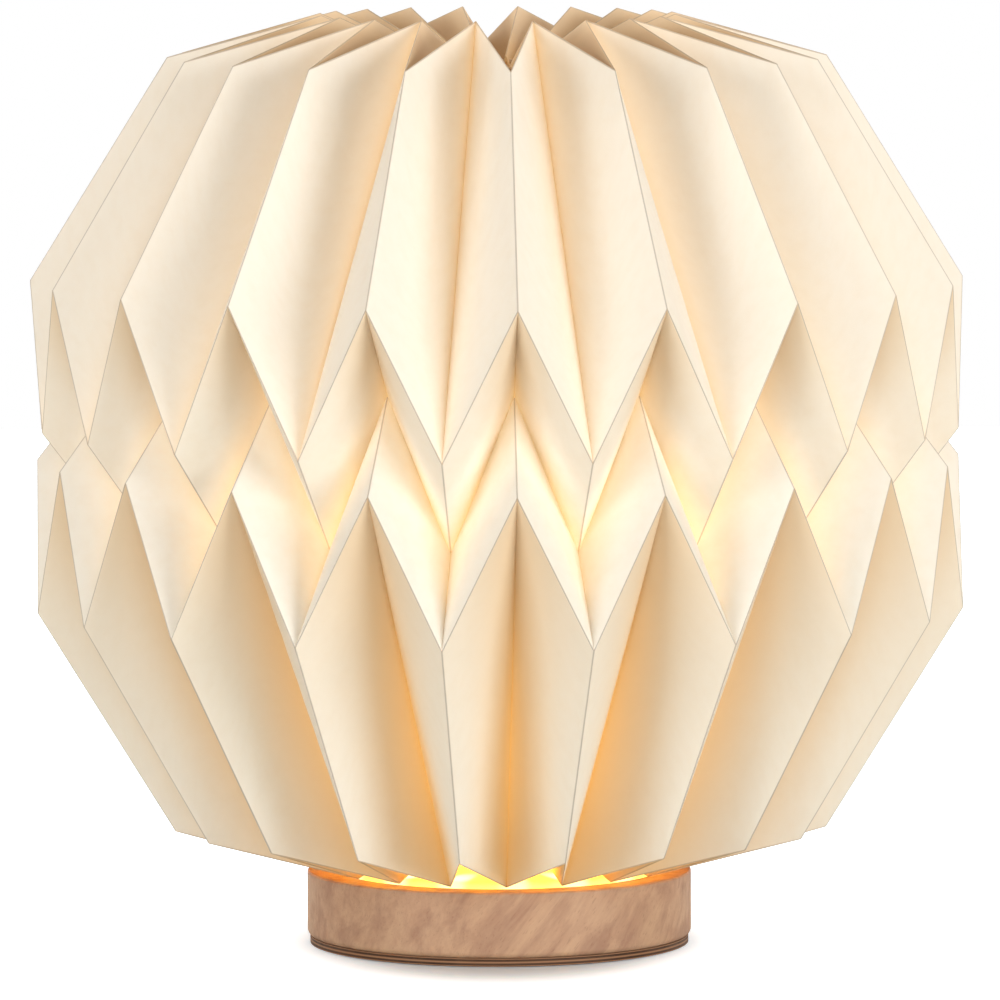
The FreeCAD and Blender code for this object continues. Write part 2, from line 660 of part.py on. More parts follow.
def make_light():
    """Reflector tray, light board with its chips and screws, and the frosted cap over them."""
    tray = turned("tray_blank", [
        ("Sizes.wire_hole", RECESS_FLOOR),
        (TRAY_RADIUS, RECESS_FLOOR),
        (TRAY_RADIUS, f"{CAP_TOP} - Sizes.diffuser_wall - Sizes.tray_lip"),
        (f"{TRAY_RADIUS} - Sizes.tray_wall", f"{CAP_TOP} - Sizes.diffuser_wall - Sizes.tray_lip"),
        (f"{TRAY_RADIUS} - Sizes.tray_wall", LED_BOARD_FOOT),
        ("Sizes.wire_hole", LED_BOARD_FOOT),
    ])
    board = turned("led_board_blank", [
        ("Sizes.wire_hole", LED_BOARD_FOOT),
        ("Sizes.led_board_radius", LED_BOARD_FOOT),
        ("Sizes.led_board_radius", LED_BOARD_TOP),
        ("Sizes.wire_hole", LED_BOARD_TOP),
    ])
    hole = cylinder("light_screw_hole", SMALL_HOLE, "Sizes.tray_wall + Sizes.board_thickness",
                    x="Sizes.light_screw_ring", z=RECESS_FLOOR)
    doc.recompute()
    keep(cut("reflector_tray", tray, *light_screw_copies("tray_holes", hole)), "reflector_tray")
    keep(cut("led_board", board, *light_screw_copies("led_board_holes", hole)), "led_board")

    screw = small_screw("light_screw", LED_BOARD_TOP,
                        "Sizes.board_thickness + Sizes.tray_wall + Sizes.small_bite")
    bind(screw, Placement__Base__x="Sizes.light_screw_ring")
    doc.recompute()
    keep(group("led_board_screws", light_screw_copies("light_screw_copy", screw)), "led_board_screws")

    chips = []
    for ring, count, first in (("outer_chip_ring", "outer_chips", "0"),
                               ("inner_chip_ring", "inner_chips", "Sizes.inner_chip_turn")):
        chip = box("chip_" + ring, "Sizes.chip_side", "Sizes.chip_side", "Sizes.chip_height",
                   f"Sizes.{ring} - Sizes.chip_side / 2", "-Sizes.chip_side / 2", LED_BOARD_TOP)
        doc.recompute()
        chips += polar_copies("chip_copy_" + ring, chip, count, first)
    keep(group("led_chips", chips), "led_chips")

    inside = "Sizes.diffuser_radius - Sizes.diffuser_wall"
    cap = turned("diffuser", [
        (inside, RECESS_FLOOR),
        ("Sizes.diffuser_radius", RECESS_FLOOR),
        ("Sizes.diffuser_radius", CAP_TOP),
        ("0", CAP_TOP),
        ("0", f"{CAP_TOP} - Sizes.diffuser_wall"),
        (inside, f"{CAP_TOP} - Sizes.diffuser_wall"),
    ])
    dress_edge(cap, "PartDesign::Fillet", "Radius", "Sizes.diffuser_round", "Sizes.diffuser_radius", CAP_TOP)
    keep(cap, "diffuser")


def make_driver():
    """The driver board against the web of the wood, with what it carries below it."""
    board = box("driver_blank", "Sizes.driver_width", "Sizes.driver_depth", "Sizes.board_thickness",
                "-Sizes.driver_width / 2", "Sizes.driver_front", DRIVER_FOOT)
    holes = driver_screw_cylinders("driver_hole", SMALL_HOLE, "Sizes.board_thickness", DRIVER_FOOT)
    keep(cut("driver_board", board, *holes), "driver_board")

    shanks = driver_screw_cylinders("driver_screw_shank", "Sizes.small_shank",
                                    "Sizes.board_thickness + Sizes.small_bite", DRIVER_FOOT)
    heads = driver_screw_cylinders("driver_screw_head", "Sizes.small_head", "Sizes.small_head_height",
                                   f"{DRIVER_FOOT} - Sizes.small_head_height")
    screws = []
    for side, head, shank in zip(("left", "right"), heads, shanks):
        screws.append(fuse("driver_screw_" + side, head, shank))
    keep(group("driver_board_screws", screws), "driver_board_screws")

    chip = box("driver_chip", "Sizes.driver_chip_long", "Sizes.driver_chip_wide", "Sizes.driver_chip_tall",
               "-Sizes.driver_chip_side - Sizes.driver_chip_long / 2",
               "Sizes.driver_front + Sizes.driver_chip_back - Sizes.driver_chip_wide / 2",
               f"{DRIVER_FOOT} - Sizes.driver_chip_tall")
    keep(chip, "driver_chip")
    coil = cylinder("driver_coil", "Sizes.coil_radius", "Sizes.coil_tall", "Sizes.coil_side",
                    "Sizes.driver_front + Sizes.coil_back", f"{DRIVER_FOOT} - Sizes.coil_tall")
    keep(coil, "driver_coil")
    capacitors = []
    for side, sign in (("left", "-"), ("right", "")):
        can = cylinder("driver_capacitor_" + side, "Sizes.capacitor_radius", "Sizes.capacitor_tall")
        place(can, sign + "Sizes.capacitor_side", "Sizes.driver_front + Sizes.capacitor_back",
              f"{DRIVER_FOOT} - Sizes.capacitor_tall")
        capacitors.append(can)
    keep(group("driver_capacitors", capacitors), "driver_capacitors")


def make_inlet():
    """The power socket on the rear edge of the driver board, open to the back."""
    y = f"{INLET_MOUTH} - Sizes.inlet_length"
    shell = oblong("inlet_outside", "Sizes.inlet_width", "Sizes.inlet_thickness", "Sizes.inlet_length", y,
                   INLET_HEIGHT)
    hollow = oblong("inlet_inside", "Sizes.inlet_width - 2 * Sizes.inlet_shell",
                    "Sizes.inlet_thickness - 2 * Sizes.inlet_shell", "Sizes.inlet_length",
                    f"{y} + Sizes.inlet_back", INLET_HEIGHT)
    keep(cut("power_inlet", shell, hollow), "power_inlet")
    tongue = box("inlet_tongue", "Sizes.tongue_width", "Sizes.tongue_length", "Sizes.tongue_thickness",
                 "-Sizes.tongue_width / 2", f"{y} + Sizes.inlet_back",
                 f"{INLET_HEIGHT} - Sizes.tongue_thickness / 2")
    keep(tongue, "inlet_tongue")


def make_button():
    """Brass bushing, push button, and the switch that it presses."""
    sleeve = lying_cylinder("bushing_sleeve", BUSHING_OUTSIDE, "Sizes.bushing_length",
                            BUSHING_START, BUTTON_HEIGHT)
    flange = lying_cylinder("bushing_flange", f"{BUSHING_BORE} + Sizes.flange_wide", "Sizes.flange_thick",
                            "Sizes.base_radius", BUTTON_HEIGHT)
    bore = lying_cylinder("bushing_bore", BUSHING_BORE, "Sizes.bushing_length + Sizes.flange_thick",
                          BUSHING_START, BUTTON_HEIGHT)
    keep(cut("button_bushing", fuse("bushing_solid", sleeve, flange), bore), "button_bushing")

    stem_length = "Sizes.bushing_length + Sizes.flange_thick + Sizes.button_stand + Sizes.button_fit"
    stem = lying_cylinder("button_stem", "Sizes.button_radius", stem_length,
                          f"{BUSHING_START} - Sizes.button_fit", BUTTON_HEIGHT)
    stop = lying_cylinder("button_shoulder", f"{BUSHING_BORE} + Sizes.button_stop", "Sizes.button_stop",
                          BUTTON_STOP_START, BUTTON_HEIGHT)
    dish = doc.addObject("Part::Sphere", "button_dish")
    bind(dish, Radius="Sizes.dish_radius")
    face = "Sizes.base_radius + Sizes.flange_thick + Sizes.button_stand"
    reach = f"{face} + Sizes.dish_radius - Sizes.dish_depth"
    place(dish, f"-sin(Sizes.button_turn) * ({reach})", f"cos(Sizes.button_turn) * ({reach})", BUTTON_HEIGHT)
    keep(cut("power_button", fuse("button_solid", stem, stop), dish), "power_button")

    plunger = lying_cylinder("switch_plunger", "Sizes.plunger_radius", "Sizes.plunger_length",
                             f"{BUTTON_STOP_START} - Sizes.plunger_length", BUTTON_HEIGHT)
    keep(plunger, "switch_plunger")
    body = doc.addObject("Part::Box", "switch_block")
    bind(body, Length="Sizes.switch_side", Width="Sizes.switch_side", Height="Sizes.switch_height")
    body.Placement.Rotation = Rotation(Vector(0, 0, 1), size("button_turn"))
    inner = f"({SWITCH_FACE}) - Sizes.switch_side"
    turn = "Sizes.button_turn"
    place(body,
          f"-sin({turn}) * ({inner}) - cos({turn}) * Sizes.switch_side / 2",
          f"cos({turn}) * ({inner}) - sin({turn}) * Sizes.switch_side / 2",
          f"{BUTTON_HEIGHT} - Sizes.switch_height / 2")
    well = lying_cylinder("switch_well", "Sizes.plunger_radius + Sizes.button_fit",
                          "Sizes.plunger_seat + Sizes.button_travel + Sizes.slide_fit + Sizes.button_fit",
                          f"{SWITCH_FACE} - Sizes.plunger_seat - Sizes.button_travel - Sizes.slide_fit",
                          BUTTON_HEIGHT)
    keep(cut("switch_body", body, well), "switch_body")


def rounded_path(points, bend):
    """A wire of straight runs joined by arcs of one radius."""
    edges = []
    start = points[0]
    for before, corner, after in zip(points, points[1:], points[2:]):
        back = (before - corner).normalize()
        ahead = (after - corner).normalize()
        half = back.getAngle(ahead) / 2
        trim = bend / math.tan(half)
        arc_start = corner + back * trim
        arc_end = corner + ahead * trim
        middle_way = (back + ahead).normalize()
        centre = corner + middle_way * (bend / math.sin(half))
        edges.append(Part.LineSegment(start, arc_start).toShape())
        edges.append(Part.Arc(arc_start, centre - middle_way * bend, arc_end).toShape())
        start = arc_end
    edges.append(Part.LineSegment(start, points[-1]).toShape())
    return Part.Wire(edges)


def make_wires():
    """Two wires from under the driver board up through the web to the light board."""
    under = evaluate(DRIVER_FOOT)
    low = under - size("wire_drop")
    radius = size("wire_radius")
    over = evaluate(LED_BOARD_TOP) + radius + size("wire_float")
    leave = size("driver_front") + 2 * radius
    for node, sign in (("wire_positive", 1), ("wire_negative", -1)):
        x = sign * size("wire_spread")
        points = [
            Vector(x, leave, under),
            Vector(x, leave, low),
            Vector(x, 0, low),
            Vector(x, 0, over),
            Vector(sign * size("wire_landing"), 0, over),
        ]
        path = rounded_path(points, size("wire_bend"))
        section = Part.Wire(Part.makeCircle(radius, points[0], Vector(0, 0, -1)))
        tube = path.makePipeShell([section], True, False)
        paper_feature(node, tube)


strip = Strip()
make_shade(strip)
make_glue_tabs(strip)
make_drawstrings(strip)
make_wood_base()
make_base_plate()
make_plate_screws()
make_light()
make_driver()
make_inlet()
make_button()
make_wires()
doc.recompute()

for feature in doc.Objects:
    if "Invalid" in feature.State or "Error" in feature.State:
        raise RuntimeError(f"{feature.Name} failed: {feature.State}")
for feature in SUBPARTS:
    shape = feature.Shape
    if shape.isNull() or not shape.isValid() or not shape.Solids:
        raise RuntimeError(f"{feature.Label} has no valid solid")

os.makedirs("parts", exist_ok=True)
for feature in SUBPARTS:
    feature.Shape.exportStep(f"parts/{feature.Label}.step")
    print(f"{feature.Label}: {len(feature.Shape.Solids)} solid(s), {feature.Shape.Volume:.1f} mm3")
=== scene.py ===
"""Pleated paper table lamp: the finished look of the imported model."""
import logging
import math
from dataclasses import dataclass, field
from enum import Enum, IntEnum
from typing import Callable

import bpy
from mathutils import Matrix, Vector


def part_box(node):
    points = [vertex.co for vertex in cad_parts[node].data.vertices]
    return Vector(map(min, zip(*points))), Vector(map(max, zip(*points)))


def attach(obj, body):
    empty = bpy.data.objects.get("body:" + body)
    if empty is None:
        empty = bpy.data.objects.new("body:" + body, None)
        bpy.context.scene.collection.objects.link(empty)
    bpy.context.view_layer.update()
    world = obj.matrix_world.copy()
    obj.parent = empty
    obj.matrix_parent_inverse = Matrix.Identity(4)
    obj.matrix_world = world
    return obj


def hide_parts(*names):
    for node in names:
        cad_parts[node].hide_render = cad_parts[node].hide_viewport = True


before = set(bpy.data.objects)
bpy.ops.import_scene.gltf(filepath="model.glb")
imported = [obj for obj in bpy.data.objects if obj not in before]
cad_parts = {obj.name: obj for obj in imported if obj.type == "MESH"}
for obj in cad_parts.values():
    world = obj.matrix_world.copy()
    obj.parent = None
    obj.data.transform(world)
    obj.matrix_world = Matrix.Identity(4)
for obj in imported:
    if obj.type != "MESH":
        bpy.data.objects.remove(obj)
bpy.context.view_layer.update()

LOG = logging.getLogger("paper_lamp")
MM = 0.001
SAME = 1e-6
FOLD_EDGE = 0.012
WELD_GAP = 0.002 * MM
FLAT_ANGLE = math.radians(0.05)
Color = tuple[float, float, float]
Place = tuple[float, float, float]
Corners = tuple[tuple[float, float], tuple[float, float]]
Object, Node, Socket = bpy.types.Object, bpy.types.Node, bpy.types.NodeSocket


class Body(Enum):
    """The bodies of the lamp that move apart."""

    BASE = "base"
    SHADE = "shade"
    BUTTON = "button"


class Fold(Enum):
    """Which way the paper is folded, seen from outside."""

    MOUNTAIN = 0.0
    VALLEY = 1.0


class Tier(IntEnum):
    """The bands between the zigzag folds, from the paper's top edge."""

    TOP_TUCK = 0
    UPPER_SIDE = 1
    UPPER_WAIST = 2
    LOWER_WAIST = 3
    LOWER_SIDE = 4
    BOTTOM_TUCK = 5


class Slot(Enum):
    """The material slots of the lamp."""

    PAPER = "paper"
    STRING = "string"
    LIGHT_WOOD = "light_wood"
    DARK_WOOD = "dark_wood"
    SCREW_STEEL = "screw_steel"
    FROSTED_PLASTIC = "frosted_plastic"
    WHITE_PLASTIC = "white_plastic"
    WHITE_BOARD = "white_board"
    LIGHT_CHIP = "light_chip"
    GREEN_BOARD = "green_board"
    BLACK_PLASTIC = "black_plastic"
    CAPACITOR_CAN = "capacitor_can"
    INLET_STEEL = "inlet_steel"
    BRASS = "brass"
    BUTTON_BRASS = "button_brass"
    RED_INSULATION = "red_insulation"
    BLACK_INSULATION = "black_insulation"


# ---------------------------------------------------------------- modelling helpers

def smooth(value: float, low: float, high: float) -> float:
    """A smooth rise from 0 at LOW to 1 at HIGH."""
    share = min(max((value - low) / (high - low), 0.0), 1.0)
    return share * share * (3.0 - 2.0 * share)


def select_only(piece: Object) -> None:
    """Makes one object the only selected and the active one."""
    bpy.ops.object.select_all(action="DESELECT")
    piece.select_set(True)
    bpy.context.view_layer.objects.active = piece


def settle(piece: Object, body: Body, slot: Slot, *nodes: str) -> None:
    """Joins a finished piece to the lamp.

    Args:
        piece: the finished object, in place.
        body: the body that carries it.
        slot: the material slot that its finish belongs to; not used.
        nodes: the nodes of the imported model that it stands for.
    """
    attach(piece, body.value)
    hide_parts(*nodes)
    LOG.info("%s: %d faces on %s", piece.name, len(piece.data.polygons), body.value)


def apply_all(piece: Object) -> None:
    """Applies the piece's modifiers in order."""
    select_only(piece)
    for modifier in list(piece.modifiers):
        bpy.ops.object.modifier_apply(modifier=modifier.name)


def refined(node: str, name: str, smooth_to: float) -> Object:
    """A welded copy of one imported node, its flats cleared of loose triangles and its rounds shaded smooth.

    Args:
        node: the node that is copied.
        name: the name of the copy.
        smooth_to: the largest angle between faces that is shaded smooth, in degrees.

    Returns:
        The copy, which isn't settled yet.
    """
    select_only(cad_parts[node])
    bpy.ops.object.duplicate()
    piece = bpy.context.active_object
    piece.name = piece.data.name = name
    bpy.ops.mesh.customdata_custom_splitnormals_clear()
    bpy.ops.object.mode_set(mode="EDIT")
    bpy.ops.mesh.select_all(action="SELECT")
    bpy.ops.mesh.remove_doubles(threshold=WELD_GAP)
    bpy.ops.mesh.dissolve_limited(angle_limit=FLAT_ANGLE)
    bpy.ops.object.mode_set(mode="OBJECT")
    bpy.ops.object.shade_smooth_by_angle(angle=math.radians(smooth_to))
    piece.data.materials.clear()
    return piece


# ---------------------------------------------------------------- shader helpers

class Nodes:
    """Adds nodes to one tree and links them."""

    def __init__(self, tree: bpy.types.NodeTree) -> None:
        """Starts on an empty or new tree."""
        self.tree = tree

    def add(self, kind: str, *values: object, **settings: object) -> Node:
        """Adds a node of a kind, with its settings and its first inputs."""
        node = self.tree.nodes.new(kind)
        for key, value in settings.items():
            setattr(node, key, value)
        for socket, value in zip(node.inputs, values):
            self.feed(socket, value)
        return node

    def feed(self, socket: Socket, value: object) -> None:
        """Links another socket to this one, or sets its constant."""
        if isinstance(value, Socket):
            self.tree.links.new(value, socket)
        elif isinstance(value, tuple) and len(value) == 3 and socket.type == "RGBA":
            socket.default_value = (*value, 1.0)
        else:
            socket.default_value = value

    def wire(self, node: Node, inputs: dict[str, object]) -> Socket:
        """Feeds a node's inputs by name and gives back its first output."""
        for key, value in inputs.items():
            self.feed(node.inputs[key], value)
        return node.outputs[0]

    def math(self, operation: str, *values: object, clamp: bool = False) -> Socket:
        """The result of one sum on numbers or sockets."""
        return self.add("ShaderNodeMath", *values, operation=operation, use_clamp=clamp).outputs[0]

    def mix(self, share: object, first: object, second: object, blend: str = "MIX") -> Socket:
        """Two colours mixed by a share."""
        node = self.add("ShaderNodeMix", data_type="RGBA", blend_type=blend, clamp_factor=True)
        self.feed(node.inputs["Factor"], share)
        self.feed(node.inputs[6], first)
        self.feed(node.inputs[7], second)
        return node.outputs[2]

    def step(self, value: object, low: object, high: object, to_low: float = 0.0,
             to_high: float = 1.0) -> Socket:
        """A value's smooth rise between two limits."""
        return self.wire(self.add("ShaderNodeMapRange", interpolation_type="SMOOTHSTEP"),
                         {"Value": value, "From Min": low, "From Max": high,
                          "To Min": to_low, "To Max": to_high})

    def noise(self, place: Socket, scale: object, detail: float = 3.0,
              roughness: float = 0.55, distortion: float = 0.0) -> Socket:
        """Cloudy noise from 0 to 1 over a place."""
        return self.wire(self.add("ShaderNodeTexNoise"),
                         {"Vector": place, "Scale": scale, "Detail": detail,
                          "Roughness": roughness, "Distortion": distortion})

    def mapped(self, place: Socket, scale: Place = (1, 1, 1), turn: Place = (0, 0, 0),
               shift: Place = (0, 0, 0)) -> Socket:
        """A place stretched, turned and shifted."""
        return self.wire(self.add("ShaderNodeMapping"),
                         {"Vector": place, "Scale": scale, "Rotation": turn, "Location": shift})

    def split(self, place: Socket) -> bpy.types.NodeOutputs:
        """The three parts of a place."""
        return self.add("ShaderNodeSeparateXYZ", place).outputs

    def bump(self, height: Socket, strength: float, distance: float) -> Socket:
        """A normal tilted by a height."""
        return self.wire(self.add("ShaderNodeBump"),
                         {"Strength": strength, "Distance": distance, "Height": height})


def shader_group(name: str, inputs: dict[str, object],
                 fill: Callable[[Nodes, dict], dict]) -> bpy.types.NodeTree:
    """A node group that gives a surface its colour, roughness and height, built once.

    Args:
        name: the name of the group.
        inputs: each input's name with its default: a number, a colour or the word VECTOR.
        fill: makes the group's nodes from its inputs and gives back a socket for each output.

    Returns:
        The group.
    """
    if name in bpy.data.node_groups:
        return bpy.data.node_groups[name]
    group = bpy.data.node_groups.new(name, "ShaderNodeTree")
    for key, default in inputs.items():
        kind = {str: "Vector", tuple: "Color", float: "Float"}[type(default)]
        socket = group.interface.new_socket(name=key, in_out="INPUT", socket_type="NodeSocket" + kind)
        if kind != "Vector":
            socket.default_value = (*default, 1.0) if kind == "Color" else default
    for key, kind in (("Color", "Color"), ("Roughness", "Float"), ("Height", "Float")):
        group.interface.new_socket(name=key, in_out="OUTPUT", socket_type="NodeSocket" + kind)
    nodes = Nodes(group)
    entry = nodes.add("NodeGroupInput")
    leave = nodes.add("NodeGroupOutput")
    results = fill(nodes, {key: entry.outputs[key] for key in inputs})
    for key, socket in results.items():
        group.links.new(socket, leave.inputs[key])
    return group


def fine_surface() -> bpy.types.NodeTree:
    """The group for small unevenness of colour, gloss and height that every made surface has."""

    def fill(n: Nodes, given: dict) -> dict:
        cloud = n.noise(given["Place"], given["Cloud Scale"], 4.0)
        speck = n.noise(given["Place"], given["Grain Scale"], 2.0)
        darker = n.mix(1.0, given["Color"], (0.55, 0.53, 0.50), "MULTIPLY")
        share = n.math("MULTIPLY", n.step(cloud, 0.42, 0.75), given["Amount"])
        color = n.mix(share, given["Color"], darker)
        swing = n.math("MULTIPLY", n.math("SUBTRACT", cloud, 0.5), given["Amount"])
        rough = n.math("ADD", given["Roughness"], swing, clamp=True)
        return {"Color": color, "Roughness": rough, "Height": speck}

    return shader_group(
        "fine_surface",
        {"Place": "VECTOR", "Color": (0.5, 0.5, 0.5), "Roughness": 0.5, "Amount": 0.2,
         "Cloud Scale": 90.0, "Grain Scale": 2500.0}, fill)


def wood_grain() -> bpy.types.NodeTree:
    """The group for wood: cloudy bands, long fibres and fine pores, all along the place's Y axis."""

    def fill(n: Nodes, given: dict) -> dict:
        sway = n.noise(given["Place"], 22.0, 2.0)
        spread = n.add("ShaderNodeCombineXYZ", n.math("MULTIPLY", sway, 0.016), 0.0,
                       n.math("MULTIPLY", sway, 0.011)).outputs[0]
        place = n.add("ShaderNodeVectorMath", given["Place"], spread, operation="ADD").outputs[0]
        scale = given["Streak Scale"]

        def drawn(length: float, times: float, *look: float) -> Socket:
            """Noise that is drawn out along the fibres."""
            return n.noise(n.mapped(place, (1.0, length, 1.0)), n.math("MULTIPLY", scale, times), *look)

        streak = drawn(0.10, 1.0, 4.0, 0.55, 0.4)
        cloud = n.noise(place, n.math("MULTIPLY", scale, 0.22), 4.0, 0.6)
        mottle = drawn(0.35, 1.9, 5.0, 0.7)
        fibre = drawn(0.06, 7.0, 3.0)
        pores = drawn(0.14, 17.0, 1.0)
        tone = n.math("MULTIPLY", n.step(streak, 0.42, 0.64), 0.55)
        for part, low, high, share in ((cloud, 0.38, 0.66, 0.25), (mottle, 0.35, 0.70, 0.25),
                                       (fibre, 0.30, 0.75, 0.22)):
            tone = n.math("ADD", tone, n.math("MULTIPLY", n.step(part, low, high), share), clamp=True)
        color = n.mix(tone, given["Light"], given["Dark"])
        pit = n.step(pores, 0.60, 0.76)
        color = n.mix(n.math("MULTIPLY", pit, 0.28), color, given["Pore"])
        height = n.math("SUBTRACT", n.math("MULTIPLY", fibre, 0.6), n.math("MULTIPLY", pit, 0.5))
        rough = n.math("ADD", 0.50, n.math("MULTIPLY", tone, 0.14))
        return {"Color": color, "Roughness": rough, "Height": height}

    return shader_group(
        "wood_grain",
        {"Place": "VECTOR", "Light": (0.5, 0.32, 0.2), "Dark": (0.33, 0.18, 0.12),
         "Pore": (0.2, 0.1, 0.06), "Streak Scale": 170.0}, fill)


def start_material(name: str) -> tuple[Nodes, Node, Node, Socket]:
    """A new material.

    Args:
        name: the name of the material.

    Returns:
        Its node helper, its Principled shader, its output and the object coordinates.
    """
    material = bpy.data.materials.new(name)
    material.use_nodes = True
    material.node_tree.nodes.clear()
    nodes = Nodes(material.node_tree)
    output = nodes.add("ShaderNodeOutputMaterial")
    shader = nodes.add("ShaderNodeBsdfPrincipled")
    nodes.feed(output.inputs["Surface"], shader.outputs[0])
    place = nodes.add("ShaderNodeTexCoord").outputs["Object"]
    return nodes, shader, output, place


# ---------------------------------------------------------------- finishes

@dataclass(frozen=True)
class Finish:
    """A finish with one material, which is built when a piece first asks for it."""

    name: str

    def material(self) -> bpy.types.Material:
        """The material."""
        if self.name not in bpy.data.materials:
            self.fill(*start_material(self.name))
        return bpy.data.materials[self.name]

    def fill(self, n: Nodes, shader: Node, output: Node, place: Socket) -> None:
        """Adds the nodes to a new material.

        Args:
            n: the material's node helper.
            shader: its Principled shader.
            output: its output.
            place: the object coordinates.
        """
        raise NotImplementedError


@dataclass(frozen=True)
class MadeFinish(Finish):
    """A moulded, plated or painted surface."""

    color: Color
    roughness: float
    metallic: float = 0.0
    amount: float = 0.15
    cloud_scale: float = 90.0
    grain_scale: float = 2500.0
    relief: float = 0.15
    glow: float = 0.0
    glow_color: Color = (1.0, 0.78, 0.45)

    def fill(self, n: Nodes, shader: Node, output: Node, place: Socket) -> None:
        """Adds the made surface's nodes."""
        group = n.add("ShaderNodeGroup", node_tree=fine_surface())
        n.wire(group, {"Place": place, "Color": self.color, "Roughness": self.roughness,
                       "Amount": self.amount, "Cloud Scale": self.cloud_scale,
                       "Grain Scale": self.grain_scale})
        n.wire(shader, {"Base Color": group.outputs["Color"], "Roughness": group.outputs["Roughness"],
                        "Normal": n.bump(group.outputs["Height"], self.relief, 0.02 * MM),
                        "Metallic": self.metallic})
        if self.glow:
            n.wire(shader, {"Emission Color": self.glow_color, "Emission Strength": self.glow})


@dataclass(frozen=True)
class WoodFinish(Finish):
    """Oiled wood, with the grain turned to lie as it was sawn."""

    light: Color
    dark: Color
    pore: Color
    fibres: Place = (1.0, 0.0, 0.0)
    streak_scale: float = 170.0
    gloss: float = 0.35
    layers: float = 0.0
    layer_color: Color = (0.3, 0.2, 0.12)

    def fill(self, n: Nodes, shader: Node, output: Node, place: Socket) -> None:
        """Adds the wood's nodes."""
        group = n.add("ShaderNodeGroup", node_tree=wood_grain())
        turn = Vector(self.fibres).rotation_difference(Vector((0.0, 1.0, 0.0))).to_euler()
        n.wire(group, {"Place": n.mapped(place, turn=tuple(turn)), "Light": self.light,
                       "Dark": self.dark, "Pore": self.pore, "Streak Scale": self.streak_scale})
        color = group.outputs["Color"]
        if self.layers:
            height = n.math("MULTIPLY", n.split(place)[2], 1.0 / self.layers)
            line = n.math("ABSOLUTE", n.math("SUBTRACT", n.math("FRACT", height), 0.5))
            color = n.mix(n.step(line, 0.22, 0.34), color, self.layer_color)
        n.wire(shader, {"Base Color": color, "Roughness": group.outputs["Roughness"],
                        "Normal": n.bump(group.outputs["Height"], 0.35, 0.05 * MM),
                        "Specular IOR Level": self.gloss})


@dataclass(frozen=True)
class PaperFinish(Finish):
    """Heavy ivory paper that lets a warm light through, with painted shade in its pleats, painted lines
    along its folds and a painted glow where the lamp's light shows.
    """

    name: str = "ivory_paper"
    color: Color = (0.96, 0.925, 0.83)
    mottle: Color = (0.93, 0.865, 0.74)
    # painted shade colours: tan for the hollows of the pleats, then a dark brown for the darkest of them
    shade: Color = (0.80, 0.62, 0.40)
    painted_deep_shade: Color = (0.34, 0.165, 0.055)
    through: Color = (1.0, 0.74, 0.36)
    share_through: float = 0.16
    # painted fold lines: a shadow line along the mountain folds, and a line of shade and glow along the
    # valley folds
    painted_crease_shadow: Color = (0.30, 0.255, 0.22)
    groove: Color = (0.72, 0.42, 0.14)
    # painted glow: colour and strength of the lamp's light painted onto the paper where it shows through
    glow: Color = (1.0, 0.60, 0.12)
    glow_strength: float = 0.34
    mottle_share: float = 0.5
    groove_share: float = 0.35
    crease_share: float = 0.62
    roughness: float = 0.82
    gloss: float = 0.25
    cloud_scale: float = 240.0
    tooth_scale: float = 2600.0

    def fill(self, n: Nodes, shader: Node, output: Node, place: Socket) -> None:
        """Adds the paper's nodes."""
        flat = n.add("ShaderNodeUVMap", uv_map="flat_sheet").outputs[0]
        marks = {key: n.add("ShaderNodeAttribute", attribute_name=key).outputs["Fac"]
                 for key in ("ridge", "groove", "hollow", "gather")}
        cloud = n.noise(flat, self.cloud_scale, 5.0, 0.6)
        tooth = n.noise(flat, self.tooth_scale, 2.0, 0.6)
        fibre = n.noise(n.mapped(flat, (1.0, 0.18, 1.0), (0, 0, 0.5)), 1500.0, 3.0, 0.6, 1.5)
        color = n.mix(n.math("MULTIPLY", n.step(cloud, 0.35, 0.75), self.mottle_share),
                      self.color, self.mottle)
        # painted shade: the hollow mark darkens the paper towards the tan shade, and past one half on
        # towards dark brown
        color = n.mix(n.math("MULTIPLY", marks["hollow"], 2.0), color, self.shade)
        color = n.mix(n.math("MULTIPLY_ADD", marks["hollow"], 2.0, -1.0), color, self.painted_deep_shade)
        # painted lines: a shadow line on the mountain folds, and shade with glow on the valley folds
        for key, low, high, share, tint in (("groove", 0.30, 1.0, self.groove_share, self.groove),
                                            ("ridge", 0.15, 0.75, self.crease_share, self.painted_crease_shadow)):
            color = n.mix(n.math("MULTIPLY", n.step(marks[key], low, high), share), color, tint)
        height = n.math("ADD", n.math("MULTIPLY", tooth, 0.5), n.math("MULTIPLY", fibre, 0.5))
        normal = n.bump(height, 0.22, 0.03 * MM)
        # painted glow: the paper's emission paints the lamp's warm light where it shows through the folds
        n.wire(shader, {"Base Color": color, "Roughness": self.roughness, "Specular IOR Level": self.gloss,
                        "Normal": normal, "Emission Strength": self.glow_strength,
                        "Emission Color": n.mix(marks["gather"], (0.0, 0.0, 0.0), self.glow)})
        tint = n.mix(n.math("MULTIPLY", cloud, 0.25), self.through, self.shade)
        veil = n.add("ShaderNodeBsdfTranslucent", tint, normal)
        both = n.add("ShaderNodeMixShader", self.share_through, shader.outputs[0], veil.outputs[0])
        n.feed(output.inputs["Surface"], both.outputs[0])


@dataclass(frozen=True)
class StringFinish(Finish):
    """Waxed cotton string, with painted shade in the grooves between its strands."""

    name: str = "waxed_cotton"
    color: Color = (0.62, 0.43, 0.24)
    # painted shade colour for the grooves between the strands
    hollow: Color = (0.34, 0.21, 0.10)

    def fill(self, n: Nodes, shader: Node, output: Node, place: Socket) -> None:
        """Adds the string's nodes."""
        hair = n.noise(place, 5200.0, 3.0, 0.65)
        depth = n.add("ShaderNodeAttribute", attribute_name="strand_depth").outputs["Fac"]
        n.wire(shader, {"Base Color": n.mix(depth, self.color, self.hollow), "Roughness": 0.7,
                        "Normal": n.bump(hair, 0.5, 0.05 * MM)})


